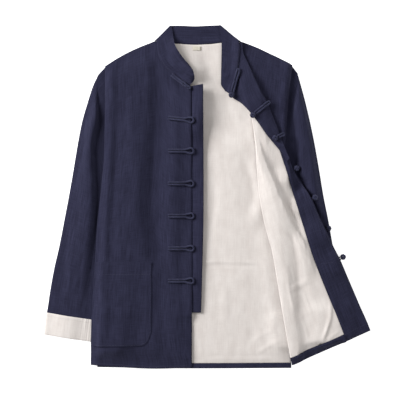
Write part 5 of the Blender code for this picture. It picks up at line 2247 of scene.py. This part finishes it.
@dataclass
class Studio:
    """A pale floor, soft light and a camera straight above.

    Attributes:
        photo_centre: Plan place at the middle of the picture.
        picture_width: Width of what the picture shows, in millimetres.
        lens: Focal length.
        sensor: Sensor width.
        focus_height: Height of the place that the camera looks at.
        floor_level: Height of the floor, in metres, just clear of the jacket's underside.
        floor_glow: How much light the floor gives of itself, so that it stays white.
        sky: Strength of the even sky.
        lamps: The lights at the two sides.
    """

    photo_centre: tuple[float, float] = (12.1, 371.4)
    picture_width: float = 880.0
    lens: float = 85.0
    sensor: float = 36.0
    focus_height: float = 6.0
    floor_level: float = -0.0004
    floor_glow: float = 0.8
    sky: float = 0.27
    lamps: tuple[Lamp, ...] = (
        Lamp("left_light", (-3.4, 1.4, 2.2), 2.2, 252.0),
        Lamp("right_light", (3.4, 0.6, 2.3), 2.0, 52.0),
    )

    def target(self) -> Vector:
        """The middle of the picture, in the row frame."""
        centre = np.array(self.photo_centre) * MM + PLAN_ORIGIN[:2]
        return Vector((*centre, self.focus_height * MM))

    def build(self) -> None:
        """Makes the floor, the lights and the camera."""
        bpy.context.scene.view_settings.view_transform = "Standard"
        self.floor()
        self.lights()
        self.camera()

    def floor(self) -> None:
        """A wide matt white floor."""
        bpy.ops.mesh.primitive_plane_add(size=30.0, location=(0, 0, self.floor_level))
        floor = bpy.context.object
        floor.name = "studio_floor"
        material = bpy.data.materials.new("studio_white")
        material.use_nodes = True
        shader = material.node_tree.nodes["Principled BSDF"]
        shader.inputs["Base Color"].default_value = (0.9, 0.9, 0.9, 1.0)
        shader.inputs["Roughness"].default_value = 0.95
        shader.inputs["Emission Color"].default_value = (1.0, 1.0, 1.0, 1.0)
        shader.inputs["Emission Strength"].default_value = self.floor_glow
        floor.data.materials.append(material)

    def lights(self) -> None:
        """A strong soft light at the left, a weak one at the right and an even sky."""
        world = bpy.data.worlds.new("studio_sky")
        bpy.context.scene.world = world
        world.use_nodes = True
        background = world.node_tree.nodes["Background"]
        background.inputs["Color"].default_value = (1.0, 1.0, 1.0, 1.0)
        background.inputs["Strength"].default_value = self.sky
        for lamp in self.lamps:
            lamp.build()

    def camera(self) -> None:
        """Looks straight down on the jacket."""
        data = bpy.data.cameras.new("photo_camera")
        data.lens = self.lens
        data.sensor_width = self.sensor
        camera = bpy.data.objects.new("photo_camera", data)
        bpy.context.scene.collection.objects.link(camera)
        distance = self.picture_width * MM * self.lens / self.sensor
        camera.location = self.target() + Vector((0, 0, distance))
        data.clip_start, data.clip_end = 0.1, 20.0
        bpy.context.scene.camera = camera


RIGHT_SLEEVE = Sleeve(
    "right", RIGHT_ARMHOLE,
    (
        (-212, 648, -199.45, 457.2, 0.0), (-224, 622, -199.45, 456.2, 0.0),
        (-236, 585, -199.4, 454.6, 0.0),
        (-248, 543, -197.5, 447, 0.0), (-257, 497, -189, 422, 0.0), (-267, 437, -173, 386, 0.0),
        (-276, 385, -163, 340, 0.0), (-287, 327, -160, 283, 0.0), (-298, 270, -162, 226, 0.0),
        (-309, 222, -165, 187, 0.0), (-318, 173, -170, 146, 0.0), (-324, 131, -175, 104, 1.5),
        (-325.5, 124, -176, 100, 1.5), (-331, 76, -183, 53, 1.5),
    ),
    (
        Crease((-204, 680), (-200, 440), -14.0, 15.0, fade=0.15),
        Crease((-202, 480), (-219, 150), -14.0, 19.0, fade=0.2),
        Crease((-222, 600), (-258, 360), 1.6, 22.0, 8.0),
        Crease((-280, 330), (-300, 140), -1.6, 14.0, 3.0),
        Crease((-262, 300), (-282, 130), 1.4, 14.0, -3.0),
        Crease((-214, 560), (-238, 440), -1.2, 12.0, 3.0),
        Crease((-250, 250), (-262, 130), -1.0, 12.0, 2.0),
    ),
    (0.5, 0.98), rise=0.4, crest=0.42, fall=0.17,
)
LEFT_SLEEVE = Sleeve(
    "left", LEFT_ARMHOLE,
    (
        (227, 651, 198.5, 457.2, 0.0), (234, 626, 198.5, 456.2, 0.0), (243, 593, 198.3, 454, 0.0),
        (254, 547, 195.5, 438, 0.0), (264, 499, 186, 411, 0.0), (275, 437, 173.5, 378, 0.0),
        (284, 382, 166, 335, 0.0), (295, 327, 163, 283, 0.0), (305, 270, 166, 226, 0.0),
        (314, 222, 170, 187, 0.0), (321, 176, 176, 147, 0.0), (327, 136, 182, 110, 1.5),
        (328, 130, 183, 106, 1.5), (335, 82, 193, 59, 1.5),
    ),
    (
        Crease((210, 680), (200, 440), -14.0, 24.0, fade=0.15),
        Crease((194, 520), (236, 390), -14.0, 26.0, fade=0.2),
        Crease((222, 420), (306, 270), -14.0, 26.0, fade=0.15),
        Crease((234, 600), (266, 380), 1.5, 20.0, -7.0),
        Crease((222, 580), (240, 470), -1.2, 11.0, -3.0),
        Crease((280, 330), (306, 140), -1.4, 14.0, -3.0),
    ),
    (0.5, 0.98),
)


def main() -> None:
    """Builds the jacket from the surface up, then the studio."""
    logging.basicConfig(level=logging.INFO, format="%(message)s")
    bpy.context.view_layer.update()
    pile = Pile((-350, -30), (410, 790))
    for sleeve in (RIGHT_SLEEVE, LEFT_SLEEVE):
        sleeve.build(pile)
    back, right_front, left_front = Back(), RightFront(), LeftFront()
    collar, fastenings = Collar(), Fastenings()
    back.build(pile)
    collar.build_back(pile)
    back.build_lining(pile)
    back.build_label(pile)
    right_front.build_underlap(pile)
    right_front.build(pile)
    collar.build_right(pile)
    left_front.build(pile, lambda: fastenings.build_hidden(pile))
    collar.build_left(pile)
    fastenings.build_loops(pile)
    fastenings.build_on_top(pile)
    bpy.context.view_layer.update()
    Studio().build()


if __name__ == "__main__":
    main()
